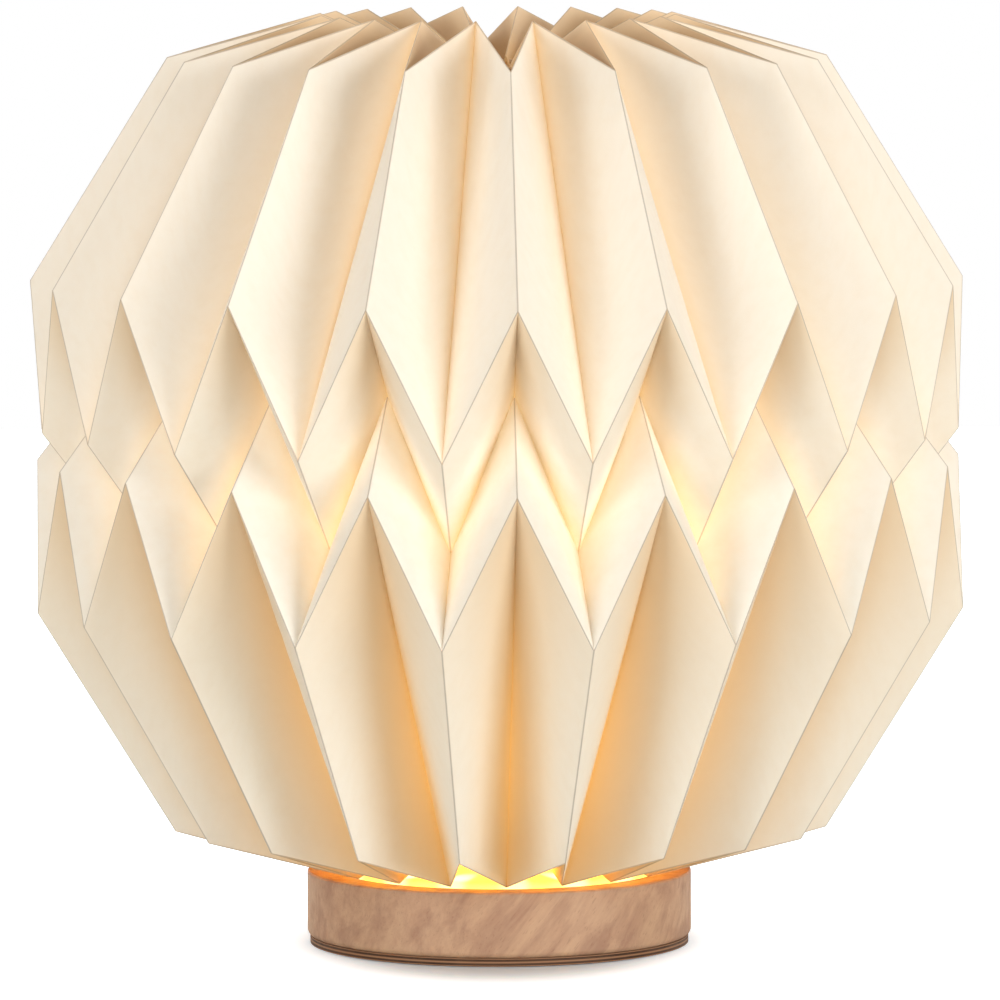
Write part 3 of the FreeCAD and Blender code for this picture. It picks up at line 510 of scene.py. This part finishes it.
@dataclass(frozen=True)
class LitCapFinish(Finish):
    """Frosted plastic lit from below, brighter over each chip of the outer ring."""

    name: str = "lit_frosted_cap"
    color: Color = (0.86, 0.74, 0.46)
    glow: Color = (1.0, 0.66, 0.07)
    hot: Color = (1.0, 0.93, 0.62)
    strength: float = 1.5
    chips: int = 16
    ring: float = 35.0 * MM
    blur: float = 14.0 * MM
    phase: float = -1.536

    def fill(self, n: Nodes, shader: Node, output: Node, place: Socket) -> None:
        """Adds the cap's nodes."""
        x, y, _ = n.split(place)
        turn = n.math("MULTIPLY_ADD", n.math("ARCTAN2", y, x), float(self.chips), self.phase)
        turn = n.math("COSINE", turn)
        reach = n.math("SQRT", n.math("ADD", n.math("MULTIPLY", x, x), n.math("MULTIPLY", y, y)))
        away = n.math("ABSOLUTE", n.math("SUBTRACT", reach, self.ring))
        spot = n.math("MULTIPLY", n.step(turn, -0.4, 1.0), n.step(away, self.blur, 0.0))
        frost = n.noise(place, 3000.0, 2.0)
        n.wire(shader, {"Base Color": n.mix(n.math("MULTIPLY", frost, 0.15), self.color, self.glow),
                        "Roughness": 0.55, "Normal": n.bump(frost, 0.2, 0.02 * MM),
                        "Emission Color": n.mix(spot, self.glow, self.hot),
                        "Emission Strength": self.strength})


@dataclass(frozen=True)
class ContactFinish(Finish):
    """Black plastic tongue with a row of gold contacts on both faces."""

    name: str = "socket_contacts"
    pitch: float = 0.5 * MM
    plastic: Color = (0.02, 0.02, 0.02)
    gold: Color = (0.83, 0.62, 0.25)

    def fill(self, n: Nodes, shader: Node, output: Node, place: Socket) -> None:
        """Adds the tongue's nodes."""
        across = n.math("MULTIPLY", n.split(place)[0], 1.0 / self.pitch)
        line = n.math("ABSOLUTE", n.math("SUBTRACT", n.math("FRACT", across), 0.5))
        strip = n.step(line, 0.24, 0.28)
        upright = n.math("ABSOLUTE", n.split(n.add("ShaderNodeNewGeometry").outputs["Normal"])[2])
        strip = n.math("MULTIPLY", strip, n.math("GREATER_THAN", upright, 0.5))
        n.wire(shader, {"Base Color": n.mix(strip, self.plastic, self.gold), "Metallic": strip,
                        "Roughness": 0.35})


# ---------------------------------------------------------------- the paper shade

@dataclass(frozen=True)
class FoldPattern:
    """The folded strip of the shade, in millimetres and degrees."""

    pleats: int = 20
    fold_spacing: float = 30.0
    zigzag_rise: float = 30.0
    side_band: float = 67.5
    side_lean: float = 31.8
    waist_band: float = 30.0
    shoulder_lean: float = 40.8
    elbow_lean: float = 37.6
    shoulder_radius: float = 121.0
    tip_radius: float = 46.1
    tip_rise: float = 11.0
    inner_tier: float = 30.0
    ridge_slope: float = 23.0
    tuck_slope: float = 27.0
    shade_turn: float = 2.38
    bend_waves: int = 4
    bend_softness: float = 3.0
    sway: float = 0.35
    rows: tuple[Corners, ...] = field(init=False)
    flat_rows: tuple[tuple[float, ...], ...] = field(init=False)
    middle: float = field(init=False)

    def __post_init__(self) -> None:
        """Works out the rows of corners on both kinds of long fold, folded and on the flat sheet."""
        step = math.radians(180.0 / self.pleats)
        slant = math.hypot(self.fold_spacing, self.zigzag_rise)
        waist = self.shoulder_radius - self.waist_band * math.sin(math.radians(self.shoulder_lean))
        elbow = waist + self.waist_band * math.sin(math.radians(self.elbow_lean))
        rim = self.shoulder_radius - self.side_band * math.sin(math.radians(self.side_lean))
        waist_up = math.sqrt(slant ** 2 - (2 * waist * math.sin(step / 2)) ** 2) / 2
        shoulder_up = waist_up + self.waist_band * math.cos(math.radians(self.shoulder_lean))
        elbow_down = waist_up - self.waist_band * math.cos(math.radians(self.elbow_lean))
        rim_up = shoulder_up + self.side_band * math.cos(math.radians(self.side_lean))
        tip_up = rim_up + self.tip_rise
        ridge = math.radians(self.ridge_slope)
        tuck = math.radians(self.tuck_slope)
        tuck_band = self.inner_tier + self.zigzag_rise
        inner = (self.tip_radius - self.inner_tier * math.cos(ridge),
                 tip_up - self.inner_tier * math.sin(ridge))
        upper = (
            ((rim - tuck_band * math.cos(tuck), rim_up - tuck_band * math.sin(tuck)), inner),
            ((rim, rim_up), (self.tip_radius, tip_up)),
            ((self.shoulder_radius, shoulder_up), (elbow, -elbow_down)),
            ((waist, waist_up), (waist, -waist_up)),
        )
        lower = tuple(tuple((r, -z) for r, z in reversed(pair)) for pair in reversed(upper[:-1]))
        long_band = self.side_band + 2 * self.zigzag_rise
        bands = (tuck_band, self.side_band, self.waist_band, self.waist_band, long_band, self.inner_tier)
        flat = tuple(tuple(sum(lengths[:count]) for count in range(len(bands) + 1))
                     for lengths in (bands, bands[::-1]))
        low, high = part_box("shade_sheet_front")
        object.__setattr__(self, "rows", upper + lower)
        object.__setattr__(self, "flat_rows", flat)
        object.__setattr__(self, "middle", (low[2] + high[2]) / 2 / MM)

    @property
    def line_step(self) -> float:
        """Angle between two long folds, in degrees."""
        return 180.0 / self.pleats

    def fold(self, line: int, band: int) -> Fold:
        """Which way a long fold goes in one band, counted from the paper's top edge."""
        return Fold.MOUNTAIN if (line + band) % 2 else Fold.VALLEY

    def row_fold(self, row: int) -> Fold:
        """Which way a zigzag fold goes: all stand out but the waist."""
        return Fold.VALLEY if row == len(self.rows) // 2 else Fold.MOUNTAIN

    def corner(self, line: int, row: int) -> Vector:
        """A corner in the middle of the paper, a little off true as hand folding leaves it."""
        radius, height = self.rows[row][line % 2]
        angle = math.radians(self.shade_turn + self.line_step * line)
        if 1 < row < len(self.rows) - 2:
            chance = math.sin(12.99 * (line % (2 * self.pleats)) + 78.23 * row) * 437.5
            chance -= math.floor(chance)
            radius -= self.sway * chance
            angle += (chance - 0.5) * self.sway / radius
        return Vector((radius * math.sin(angle), -radius * math.cos(angle), height + self.middle)) * MM

    def point(self, s: float, t: float) -> Vector:
        """A point of the folded paper.

        Args:
            s: place across the strip, counted in long folds.
            t: place down the strip, counted in rows of zigzag folds.

        Returns:
            The point, on a panel that bends softly between its two sharp corners.
        """
        line = math.floor(s)
        row = min(math.floor(t), len(self.rows) - 2)
        f, g = s - line, t - row
        near, far = (line, line + 1) if line % 2 == 0 else (line + 1, line)
        if line % 2:
            f = 1.0 - f
        a, b = self.corner(near, row), self.corner(far, row)
        c, d = self.corner(far, row + 1), self.corner(near, row + 1)
        bend = 0.0
        for wave in range(1, self.bend_waves + 1):
            turn = wave * math.pi
            fade = math.exp(-0.5 * (wave / self.bend_softness) ** 2)
            bend += 2.0 * fade * math.sin(turn * f) * math.sin(turn * g) / turn ** 2
        return ((a * (1 - f) + b * f) * (1 - g) + (d * (1 - f) + c * f) * g + (a - b + c - d) * bend)

    def flat_point(self, s: float, t: float) -> tuple[float, float]:
        """The same point on the flat sheet, in metres."""
        line = math.floor(s)
        row = min(math.floor(t), len(self.rows) - 2)
        f, g = s - line, t - row
        heights = []
        for kind in (line % 2, (line + 1) % 2):
            places = self.flat_rows[kind]
            heights.append(places[row] + (places[row + 1] - places[row]) * g)
        return s * self.fold_spacing * MM, -(heights[0] * (1 - f) + heights[1] * f) * MM


@dataclass
class FoldedPiece:
    """One piece of paper folded by the pattern."""

    name: str
    pattern: FoldPattern
    across: list[float]
    down: list[float]
    thickness: float = 0.35
    behind: float = 0.0
    crease_round: float = 0.25
    smooth_to: float = 24.0

    def surface(self, s: float, t: float) -> Vector:
        """A point on the paper, drawn in a little where it is folded."""
        here = self.pattern.point(s, t)
        last = len(self.pattern.rows) - 1
        if abs(s - round(s)) < SAME and 0 < t < last:
            beside = self.pattern.point(s - FOLD_EDGE, t) + self.pattern.point(s + FOLD_EDGE, t)
            here = here.lerp(beside / 2, self.crease_round)
        return here

    def marks(self, s: float, t: float) -> tuple[float, float, float, float]:
        """What the paper's finish needs to know about a point.

        Args:
            s: place across the strip.
            t: place down the strip.

        Returns:
            How much it lies on a mountain fold (for a painted shadow line) and on a valley fold (for a
            painted line of shade and glow), how much painted shade it gets, and how much painted glow.
        """
        last = len(self.pattern.rows) - 1
        line, row = round(s), round(t)
        folds = []
        bands = sorted({min(math.floor(t + shift), last - 1) for shift in (-SAME, SAME) if t + shift >= 0})
        if abs(s - line) < SAME:
            folds += [self.pattern.fold(line, band) for band in bands]
        if abs(t - row) < SAME:
            folds.append(self.pattern.row_fold(row))
        hollow = sum(self.hollow(s, t, band) for band in bands) / len(bands)
        gather = sum(self.gather(s, t, band) for band in bands) / len(bands)
        return float(Fold.MOUNTAIN in folds), float(Fold.VALLEY in folds), hollow, gather

    def towards_valley(self, s: float, band: int) -> float:
        """How far a point lies from its panel's mountain fold towards its valley fold, from 0 to 1."""
        left = math.floor(s)
        start = self.pattern.fold(left, band).value
        end = self.pattern.fold(left + 1, band).value
        return start + (end - start) * (s - left)

    def hollow(self, s: float, t: float, band: int) -> float:
        """How much painted shade of the pleats a point gets, from 0 to 1; above one half it darkens on
        towards the darkest painted shade.
        """
        v, g = self.towards_valley(s, band), t - band
        if band == Tier.TOP_TUCK:
            return 0.47 + 0.18 * smooth(v, 0.05, 0.35) - 0.03 * smooth(v, 0.5, 0.8)
        if band == Tier.UPPER_SIDE:
            band_of_shade = 0.09 * math.exp(-((v - 0.62) / 0.16) ** 2) * (1.0 - g)
            return 0.08 + band_of_shade + 0.11 * smooth(v, 0.8, 1.0) * (1.0 - 0.5 * g)
        if band == Tier.UPPER_WAIST:
            share = 0.26 + 0.08 * smooth(g, 0.2, 0.5) - 0.14 * smooth(g, 0.75, 1.0)
            return 0.13 * (1.0 - smooth(g, 0.3, 0.6)) + share * smooth(v, 0.3, 0.95)
        if band == Tier.LOWER_WAIST:
            return 0.02 * g
        if band == Tier.LOWER_SIDE:
            return 0.18 - 0.13 * g + (0.27 + 0.06 * g) * smooth(v, -0.05, 0.90)
        return 0.4

    def gather(self, s: float, t: float, band: int) -> float:
        """How much painted glow of the lamp's light a point gets, from 0 to 1."""
        v, g = self.towards_valley(s, band), t - band
        if band == Tier.TOP_TUCK:
            return 0.10 + 0.20 * (1.0 - smooth(v, 0.05, 0.3)) * (1.0 - smooth(g, 0.3, 0.7))
        if band == Tier.UPPER_SIDE:
            return 0.44 * v ** (3.0 + 2.0 * g) * (1.0 - 0.3 * g)
        if band == Tier.UPPER_WAIST:
            rise = 0.85 * smooth(g, 0.35, 1.05) * (1.0 - 0.6 * smooth(v, 0.3, 0.65))
            return rise + 0.25 * smooth(v, 0.75, 1.0) * g * g
        if band == Tier.LOWER_WAIST:
            return (0.32 + 0.16 * smooth(v, 0.5, 0.9)) * (1.0 - smooth(g, 0.30, 0.95))
        if band == Tier.LOWER_SIDE:
            share = 0.78 * smooth(g, -0.05, 0.65) - 0.25 * smooth(g, 0.7, 0.95)
            return share * v ** (4.5 - 3.6 * g)
        return 0.5 * v

    def build(self, finish: PaperFinish) -> Object:
        """Lays out a flat grid, folds it and gives it the thickness of the paper."""
        columns, rows = len(self.across) - 1, len(self.down) - 1
        bpy.ops.object.select_all(action="DESELECT")
        bpy.ops.mesh.primitive_grid_add(x_subdivisions=columns, y_subdivisions=rows, size=2.0)
        piece = bpy.context.active_object
        mesh = piece.data
        piece.name = mesh.name = self.name
        places = []
        for vertex in mesh.vertices:
            column = round((vertex.co.x + 1.0) / 2.0 * columns)
            row = rows - round((vertex.co.y + 1.0) / 2.0 * rows)
            places.append((self.across[column], self.down[row]))
        for vertex, (s, t) in zip(mesh.vertices, places):
            vertex.co = self.surface(s, t)
        marks = [self.marks(s, t) for s, t in places]
        for column, key in enumerate(("ridge", "groove", "hollow", "gather")):
            layer = mesh.attributes.new(key, "FLOAT", "POINT")
            layer.data.foreach_set("value", [values[column] for values in marks])
        flat = mesh.uv_layers.active
        flat.name = "flat_sheet"
        for loop in mesh.loops:
            flat.data[loop.index].uv = self.pattern.flat_point(*places[loop.vertex_index])
        mesh.update()
        if self.behind:
            normals = [vertex.normal.copy() for vertex in mesh.vertices]
            for vertex, normal in zip(mesh.vertices, normals):
                vertex.co -= normal * self.behind * MM
        solid = piece.modifiers.new("paper_thickness", "SOLIDIFY")
        solid.thickness = self.thickness * MM
        solid.offset = 0.0
        apply_all(piece)
        bpy.ops.object.shade_smooth_by_angle(angle=math.radians(self.smooth_to))
        mesh.materials.append(finish.material())
        return piece


@dataclass
class PaperShade:
    """The pleated shade: four sheets with their glue tabs and two drawstrings."""

    pattern: FoldPattern = field(default_factory=FoldPattern)
    finish: PaperFinish = PaperFinish()
    string_finish: StringFinish = StringFinish()
    sides: tuple[str, ...] = ("right", "back", "left", "front")
    tab_inset: float = 1.5
    tab_width: float = 10.0
    tab_end: float = 6.0
    glue_gap: float = 0.15
    string_radius: float = 0.6
    string_inset: float = 3.7
    string_depth: float = 3.0
    strands: int = 3
    strand_turns: int = 46
    strand_groove: float = 0.22
    knot_radius: float = 1.5
    knot_string: float = 0.42
    knot_points: int = 24
    knot_depth: float = 0.9

    def cuts_across(self, first: int, count: int) -> list[float]:
        """Places of the grid's lines across COUNT panels, close together at the folds."""
        shares = (FOLD_EDGE, 0.06, 0.15, 0.26, 0.38, 0.5, 0.62, 0.74, 0.85, 0.94, 1 - FOLD_EDGE)
        places = [float(first)]
        for line in range(first, first + count):
            places += [line + share for share in shares] + [line + 1.0]
        return places

    def cuts_down(self) -> list[float]:
        """Places of the grid's lines down the sheet, close together at the zigzags."""
        places = [0.0]
        for band, steps in enumerate((9, 16, 9, 9, 16, 9)):
            fine = FOLD_EDGE * (0.4 if steps > 9 else 0.8)
            inside = [fine] + [step / steps for step in range(1, steps)] + [1 - fine]
            places += [band + share for share in inside] + [band + 1.0]
        return places

    def build_sheets(self) -> None:
        """The four sheets, joined on long folds."""
        lines = 2 * self.pattern.pleats // len(self.sides)
        for index, side in enumerate(self.sides):
            first = lines // 2 + index * lines
            sheet = FoldedPiece("paper_sheet_" + side, self.pattern, self.cuts_across(first, lines),
                                self.cuts_down()).build(self.finish)
            settle(sheet, Body.SHADE, Slot.PAPER, "shade_sheet_" + side)

    def build_tabs(self) -> None:
        """The tab of each sheet, glued inside the first panel of the next."""
        lines = 2 * self.pattern.pleats // len(self.sides)
        spacing = self.pattern.fold_spacing
        near, far = self.tab_inset / spacing, (self.tab_inset + self.tab_width) / spacing
        end = self.tab_end / self.pattern.side_band
        down = [place for place in self.cuts_down()
                if Tier.UPPER_SIDE + end < place < Tier.BOTTOM_TUCK - end]
        for index, side in enumerate(self.sides):
            line = lines // 2 + index * lines
            across = [line + near + (far - near) * step / 5 for step in range(6)]
            tab = FoldedPiece("paper_tab_" + side, self.pattern, across, down,
                              behind=FoldedPiece.thickness + self.glue_gap).build(self.finish)
            settle(tab, Body.SHADE, Slot.PAPER, "glue_tab_" + side)

    def build_string(self, end: str, sign: int, knot_line: int) -> None:
        """One drawn string: a ring of three twisted strands and its knot.

        Args:
            end: "top" or "bottom".
            sign: 1 for the top and -1 for the bottom.
            knot_line: the long fold beside which the knot lies.
        """
        edge_radius, edge_height = self.pattern.rows[0][1]
        slope = math.radians(self.pattern.ridge_slope)
        radius = (edge_radius + self.string_inset * math.cos(slope)) * MM
        above = edge_height + self.string_inset * math.sin(slope) - self.string_depth
        height = (self.pattern.middle + sign * above) * MM
        thick = self.string_radius * MM
        bpy.ops.object.select_all(action="DESELECT")
        bpy.ops.mesh.primitive_torus_add(major_radius=radius, minor_radius=thick, major_segments=336,
                                         minor_segments=15)
        piece = bpy.context.active_object
        piece.name = piece.data.name = end + "_string"
        depth = piece.data.attributes.new("strand_depth", "FLOAT", "POINT")
        for vertex in piece.data.vertices:
            turn = math.atan2(vertex.co.y, vertex.co.x)
            heart = Vector((radius * math.cos(turn), radius * math.sin(turn), 0.0))
            arm = vertex.co - heart
            around = math.atan2(arm.z, vertex.co.xy.length - radius)
            hollow = 0.5 - 0.5 * math.cos(self.strands * around + self.strand_turns * turn)
            vertex.co = heart + arm * (1.0 - self.strand_groove * hollow ** 2)
            vertex.co.z += height
            # this mark paints shade into the grooves between the strands
            depth.data[vertex.index].value = hollow ** 2
        knot = self.build_knot(radius, height, knot_line, depth_name=depth.name)
        select_only(piece)
        knot.select_set(True)
        bpy.ops.object.join()
        bpy.ops.object.shade_smooth()
        piece.data.materials.clear()
        piece.data.materials.append(self.string_finish.material())
        settle(piece, Body.SHADE, Slot.STRING, end + "_drawstring")

    def build_knot(self, radius: float, height: float, line: int, depth_name: str) -> Object:
        """An overhand knot on the ring, as a three-lobed loop of the same string.

        Args:
            radius: radius of the ring.
            height: height of the ring.
            line: the long fold beside which it lies.
            depth_name: the attribute that the string's finish reads.

        Returns:
            The knot's mesh.
        """
        curve = bpy.data.curves.new("string_knot", "CURVE")
        curve.dimensions = "3D"
        curve.bevel_depth = self.knot_string * MM
        curve.bevel_resolution = 4
        spline = curve.splines.new("NURBS")
        spline.points.add(self.knot_points - 1)
        reach = (self.knot_radius - self.knot_string) * MM
        angle = math.radians(self.pattern.shade_turn + self.pattern.line_step * line)
        out = Vector((math.sin(angle), -math.cos(angle), 0.0))
        along = Vector((math.cos(angle), math.sin(angle), 0.0))
        heart = out * radius + Vector((0.0, 0.0, height))
        for index, knot_point in enumerate(spline.points):
            turn = 2 * math.pi * index / self.knot_points
            swing = (2 + math.cos(3 * turn)) / 3
            x, y = swing * math.cos(2 * turn), swing * math.sin(2 * turn)
            swell = along * self.knot_depth * math.sin(3 * turn)
            knot_point.co = (*(heart + (out * x + Vector((0, 0, y)) + swell) * reach), 1.0)
        spline.order_u = 4
        spline.use_cyclic_u = True
        knot = bpy.data.objects.new("string_knot", curve)
        bpy.context.collection.objects.link(knot)
        select_only(knot)
        bpy.ops.object.convert(target="MESH")
        knot = bpy.context.active_object
        knot.data.attributes.new(depth_name, "FLOAT", "POINT")
        return knot

    def build(self) -> None:
        """Builds the whole shade."""
        self.build_sheets()
        self.build_tabs()
        self.build_string("top", 1, self.pattern.pleats)
        self.build_string("bottom", -1, 1)


# ---------------------------------------------------------------- the base

LIGHT_WOOD = WoodFinish("oiled_light_wood", (0.515, 0.330, 0.205), (0.350, 0.202, 0.130),
                        (0.17, 0.085, 0.05), (0.59, 0.20, 0.78))
DARK_PLATE = WoodFinish("dark_layered_plate", (0.080, 0.040, 0.022), (0.040, 0.019, 0.010),
                        (0.012, 0.006, 0.004), (0.9, 0.3, 0.0), gloss=0.15, layers=1.0 * MM,
                        layer_color=(0.29, 0.153, 0.082))
SCREW_STEEL = MadeFinish("zinc_steel", (0.60, 0.60, 0.61), 0.32, 1.0, 0.25)
WHITE_PLASTIC = MadeFinish("white_reflector", (0.88, 0.88, 0.86), 0.42)
WHITE_BOARD = MadeFinish("white_solder_mask", (0.86, 0.86, 0.84), 0.35)
GREEN_BOARD = MadeFinish("green_solder_mask", (0.012, 0.11, 0.035), 0.32, amount=0.3, cloud_scale=300.0)
BLACK_PLASTIC = MadeFinish("black_plastic", (0.02, 0.02, 0.02), 0.45)
BARE_CAN = MadeFinish("bare_aluminium_can", (0.72, 0.72, 0.73), 0.3, 1.0)
INLET_STEEL = MadeFinish("drawn_steel_shell", (0.62, 0.62, 0.63), 0.28, 1.0, 0.2)
BRASS = MadeFinish("brushed_brass", (0.66, 0.47, 0.20), 0.3, 1.0, 0.2, grain_scale=4000.0)
BUTTON_BRASS = MadeFinish("satin_brass", (0.72, 0.53, 0.25), 0.38, 1.0, 0.2)
RED_INSULATION = MadeFinish("red_insulation", (0.38, 0.012, 0.01), 0.4)
BLACK_INSULATION = MadeFinish("black_insulation", (0.015, 0.015, 0.015), 0.4)
PHOSPHOR = MadeFinish("phosphor_chip", (0.95, 0.75, 0.20), 0.5, glow=1.5)


@dataclass
class NodePiece:
    """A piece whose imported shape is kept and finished."""

    node: str
    name: str
    slot: Slot
    finish: Finish
    body: Body = Body.BASE
    smooth_to: float = 32.0

    def build(self) -> None:
        """Copies, cleans, dresses and settles the piece."""
        piece = refined(self.node, self.name, self.smooth_to)
        piece.data.materials.append(self.finish.material())
        settle(piece, self.body, self.slot, self.node)


@dataclass
class LampBase:
    """The wooden base and all that it holds."""

    pieces: tuple[NodePiece, ...] = (
        NodePiece("wood_base", "turned_wood_base", Slot.LIGHT_WOOD, LIGHT_WOOD),
        NodePiece("base_plate", "layered_base_plate", Slot.DARK_WOOD, DARK_PLATE),
        NodePiece("base_plate_screws", "plate_screws", Slot.SCREW_STEEL, SCREW_STEEL),
        NodePiece("diffuser", "frosted_light_cap", Slot.FROSTED_PLASTIC, LitCapFinish()),
        NodePiece("reflector_tray", "white_reflector_tray", Slot.WHITE_PLASTIC, WHITE_PLASTIC),
        NodePiece("led_board", "round_light_board", Slot.WHITE_BOARD, WHITE_BOARD),
        NodePiece("led_chips", "ring_of_light_chips", Slot.LIGHT_CHIP, PHOSPHOR),
        NodePiece("led_board_screws", "light_board_screws", Slot.SCREW_STEEL, SCREW_STEEL),
        NodePiece("driver_board", "green_driver_board", Slot.GREEN_BOARD, GREEN_BOARD),
        NodePiece("driver_board_screws", "driver_screws", Slot.SCREW_STEEL, SCREW_STEEL),
        NodePiece("driver_chip", "control_chip", Slot.BLACK_PLASTIC, BLACK_PLASTIC),
        NodePiece("driver_coil", "round_coil", Slot.BLACK_PLASTIC, BLACK_PLASTIC),
        NodePiece("driver_capacitors", "can_capacitors", Slot.CAPACITOR_CAN, BARE_CAN),
        NodePiece("power_inlet", "inlet_shell", Slot.INLET_STEEL, INLET_STEEL),
        NodePiece("inlet_tongue", "inlet_contact_tongue", Slot.BLACK_PLASTIC, ContactFinish()),
        NodePiece("button_bushing", "brass_bushing", Slot.BRASS, BRASS),
        NodePiece("power_button", "round_push_button", Slot.BUTTON_BRASS, BUTTON_BRASS, Body.BUTTON),
        NodePiece("switch_plunger", "switch_pin", Slot.BLACK_PLASTIC, BLACK_PLASTIC, Body.BUTTON),
        NodePiece("switch_body", "switch_block", Slot.BLACK_PLASTIC, BLACK_PLASTIC),
        NodePiece("wire_positive", "red_wire", Slot.RED_INSULATION, RED_INSULATION, smooth_to=60.0),
        NodePiece("wire_negative", "black_wire", Slot.BLACK_INSULATION, BLACK_INSULATION, smooth_to=60.0),
    )

    def build(self) -> None:
        """Builds every piece of the base."""
        for piece in self.pieces:
            piece.build()


# ---------------------------------------------------------------- light, floor and camera

@dataclass
class Softbox:
    """One large soft lamp that points at the middle of the shade."""

    name: str
    place: Place
    side: float
    power: float
    color: Color = (1.0, 1.0, 1.0)
    target: Place = (0.0, 0.0, 0.13)

    def build(self) -> None:
        """Adds the lamp."""
        bpy.ops.object.light_add(type="AREA", location=self.place)
        lamp = bpy.context.active_object
        lamp.name = self.name
        lamp.data.energy = self.power
        lamp.data.size = self.side
        lamp.data.color = self.color
        aim = Vector(self.target) - Vector(self.place)
        lamp.rotation_euler = aim.to_track_quat("-Z", "Y").to_euler()


@dataclass
class Studio:
    """The lamps, the pale floor and the camera at the photograph's angle."""

    camera_place: Place = (0.0044, -2.521, 0.347)
    pitch: float = 5.25
    yaw: float = -0.09
    roll: float = -0.14
    lens: float = 350.8
    sensor: float = 36.0
    world_strength: float = 0.12
    world_color: Color = (0.97, 0.91, 0.84)
    floor_radius: float = 1.6
    floor_color: Color = (0.62, 0.74, 0.86)
    floor_bounce: Color = (0.72, 0.76, 0.74)
    floor_drop: float = 0.2 * MM
    # the white lift, and the oval round the base where it fades out, which paints shade near the base
    floor_lift: float = 0.02
    fade_narrow: float = 1.5
    fade_start: float = 0.053
    fade_end: float = 0.098
    inner_power: float = 0.18
    inner_spread: float = 168.0
    inner_color: Color = (1.0, 0.50, 0.05)
    softboxes: tuple[Softbox, ...] = (
        Softbox("front_right_softbox", (1.6, -1.5, 0.35), 1.2, 37.0),
        Softbox("front_left_softbox", (-1.6, -1.5, 0.45), 1.2, 24.5),
        Softbox("front_softbox", (0.0, -2.2, 0.85), 1.2, 10.0),
        Softbox("top_softbox", (0.0, 0.1, 1.9), 1.0, 14.0),
        Softbox("back_right_softbox", (1.5, 1.7, 0.8), 1.2, 22.0),
        Softbox("back_left_softbox", (-1.5, 1.7, 0.8), 1.2, 22.0),
    )

    def build_inner_light(self) -> None:
        """The warm light that leaves the frosted cap and fills the shade."""
        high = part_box("diffuser")[1]
        bpy.ops.object.light_add(type="AREA", location=(0.0, 0.0, high[2] + 0.4 * MM),
                                 rotation=(math.pi, 0, 0))
        lamp = bpy.context.active_object
        lamp.name = "light_from_cap"
        lamp.data.shape = "DISK"
        lamp.data.size = 2 * (high[0] - 2.0 * MM)
        lamp.data.energy = self.inner_power
        lamp.data.color = self.inner_color
        lamp.data.spread = math.radians(self.inner_spread)

    def build_world(self) -> None:
        """Even light from all round, seen as plain white by the camera."""
        world = bpy.data.worlds.new("even_studio")
        bpy.context.scene.world = world
        world.use_nodes = True
        world.node_tree.nodes.clear()
        n = Nodes(world.node_tree)
        even = n.add("ShaderNodeBackground", self.world_color, self.world_strength)
        white = n.add("ShaderNodeBackground", (1.0, 1.0, 1.0))
        rays = n.add("ShaderNodeLightPath").outputs
        seen = n.math("MAXIMUM", rays["Is Camera Ray"], rays["Is Glossy Ray"])
        seen = n.math("MAXIMUM", seen, rays["Is Transmission Ray"])
        both = n.add("ShaderNodeMixShader", seen, even.outputs[0], white.outputs[0])
        n.add("ShaderNodeOutputWorld", both.outputs[0])

    def build_floor(self) -> None:
        """A round pale floor, open from below, that fades into white away from the base; round the base it
        keeps the lamp's real shadow, and the fading white lift also paints the floor darker there in an oval
        as shade.
        """
        bpy.ops.object.select_all(action="DESELECT")
        bpy.ops.mesh.primitive_circle_add(vertices=128, radius=self.floor_radius, fill_type="NGON",
                                          location=(0.0, 0.0, -self.floor_drop))
        floor = bpy.context.active_object
        floor.name = "pale_floor"
        n, shader, output, place = start_material("pale_floor")
        seen = n.add("ShaderNodeLightPath").outputs["Is Camera Ray"]
        n.wire(shader, {"Base Color": n.mix(seen, self.floor_bounce, self.floor_color),
                        "Roughness": 0.9, "Specular IOR Level": 0.1})
        reach = n.add("ShaderNodeVectorMath", n.mapped(place, (self.fade_narrow, 1.0, 1.0)),
                      operation="LENGTH")
        # painted shade: the white lift is small in an oval round the base, so the floor there is darker as
        # well as really shadowed
        fade = n.step(reach.outputs["Value"], self.fade_start, self.fade_end, self.floor_lift, 1.0)
        lift = n.add("ShaderNodeEmission", (1.0, 1.0, 1.0), n.math("MULTIPLY", seen, fade))
        total = n.add("ShaderNodeAddShader", shader.outputs[0], lift.outputs[0])
        from_below = n.add("ShaderNodeNewGeometry").outputs["Backfacing"]
        clear = n.add("ShaderNodeBsdfTransparent")
        one_sided = n.add("ShaderNodeMixShader", from_below, total.outputs[0], clear.outputs[0])
        n.feed(output.inputs["Surface"], one_sided.outputs[0])
        floor.data.materials.append(bpy.data.materials["pale_floor"])

    def build_camera(self) -> None:
        """The camera, solved from the folds in the photograph."""
        pitch, yaw, roll = (math.radians(angle) for angle in (self.pitch, self.yaw, self.roll))
        level = Vector((math.cos(yaw), -math.sin(yaw), 0.0))
        ahead = Vector((math.sin(yaw) * math.cos(pitch), math.cos(yaw) * math.cos(pitch), -math.sin(pitch)))
        upright = Vector((math.sin(yaw) * math.sin(pitch), math.cos(yaw) * math.sin(pitch),
                          math.cos(pitch)))
        right = level * math.cos(roll) + upright * math.sin(roll)
        up = upright * math.cos(roll) - level * math.sin(roll)
        bpy.ops.object.camera_add(location=self.camera_place)
        camera = bpy.context.active_object
        camera.name = "photo_camera"
        camera.rotation_euler = Matrix((right, up, -ahead)).transposed().to_euler()
        camera.data.lens = self.lens
        camera.data.sensor_width = self.sensor
        bpy.context.scene.camera = camera

    def build(self) -> None:
        """Builds the studio."""
        self.build_camera()
        self.build_world()
        self.build_floor()
        self.build_inner_light()
        for box in self.softboxes:
            box.build()
        bpy.context.scene.view_settings.view_transform = "Standard"


def main() -> None:
    """Builds the lamp and its studio."""
    logging.basicConfig(level=logging.INFO, format="%(message)s")
    Studio().build()
    PaperShade().build()
    LampBase().build()


if __name__ == "__main__":
    main()
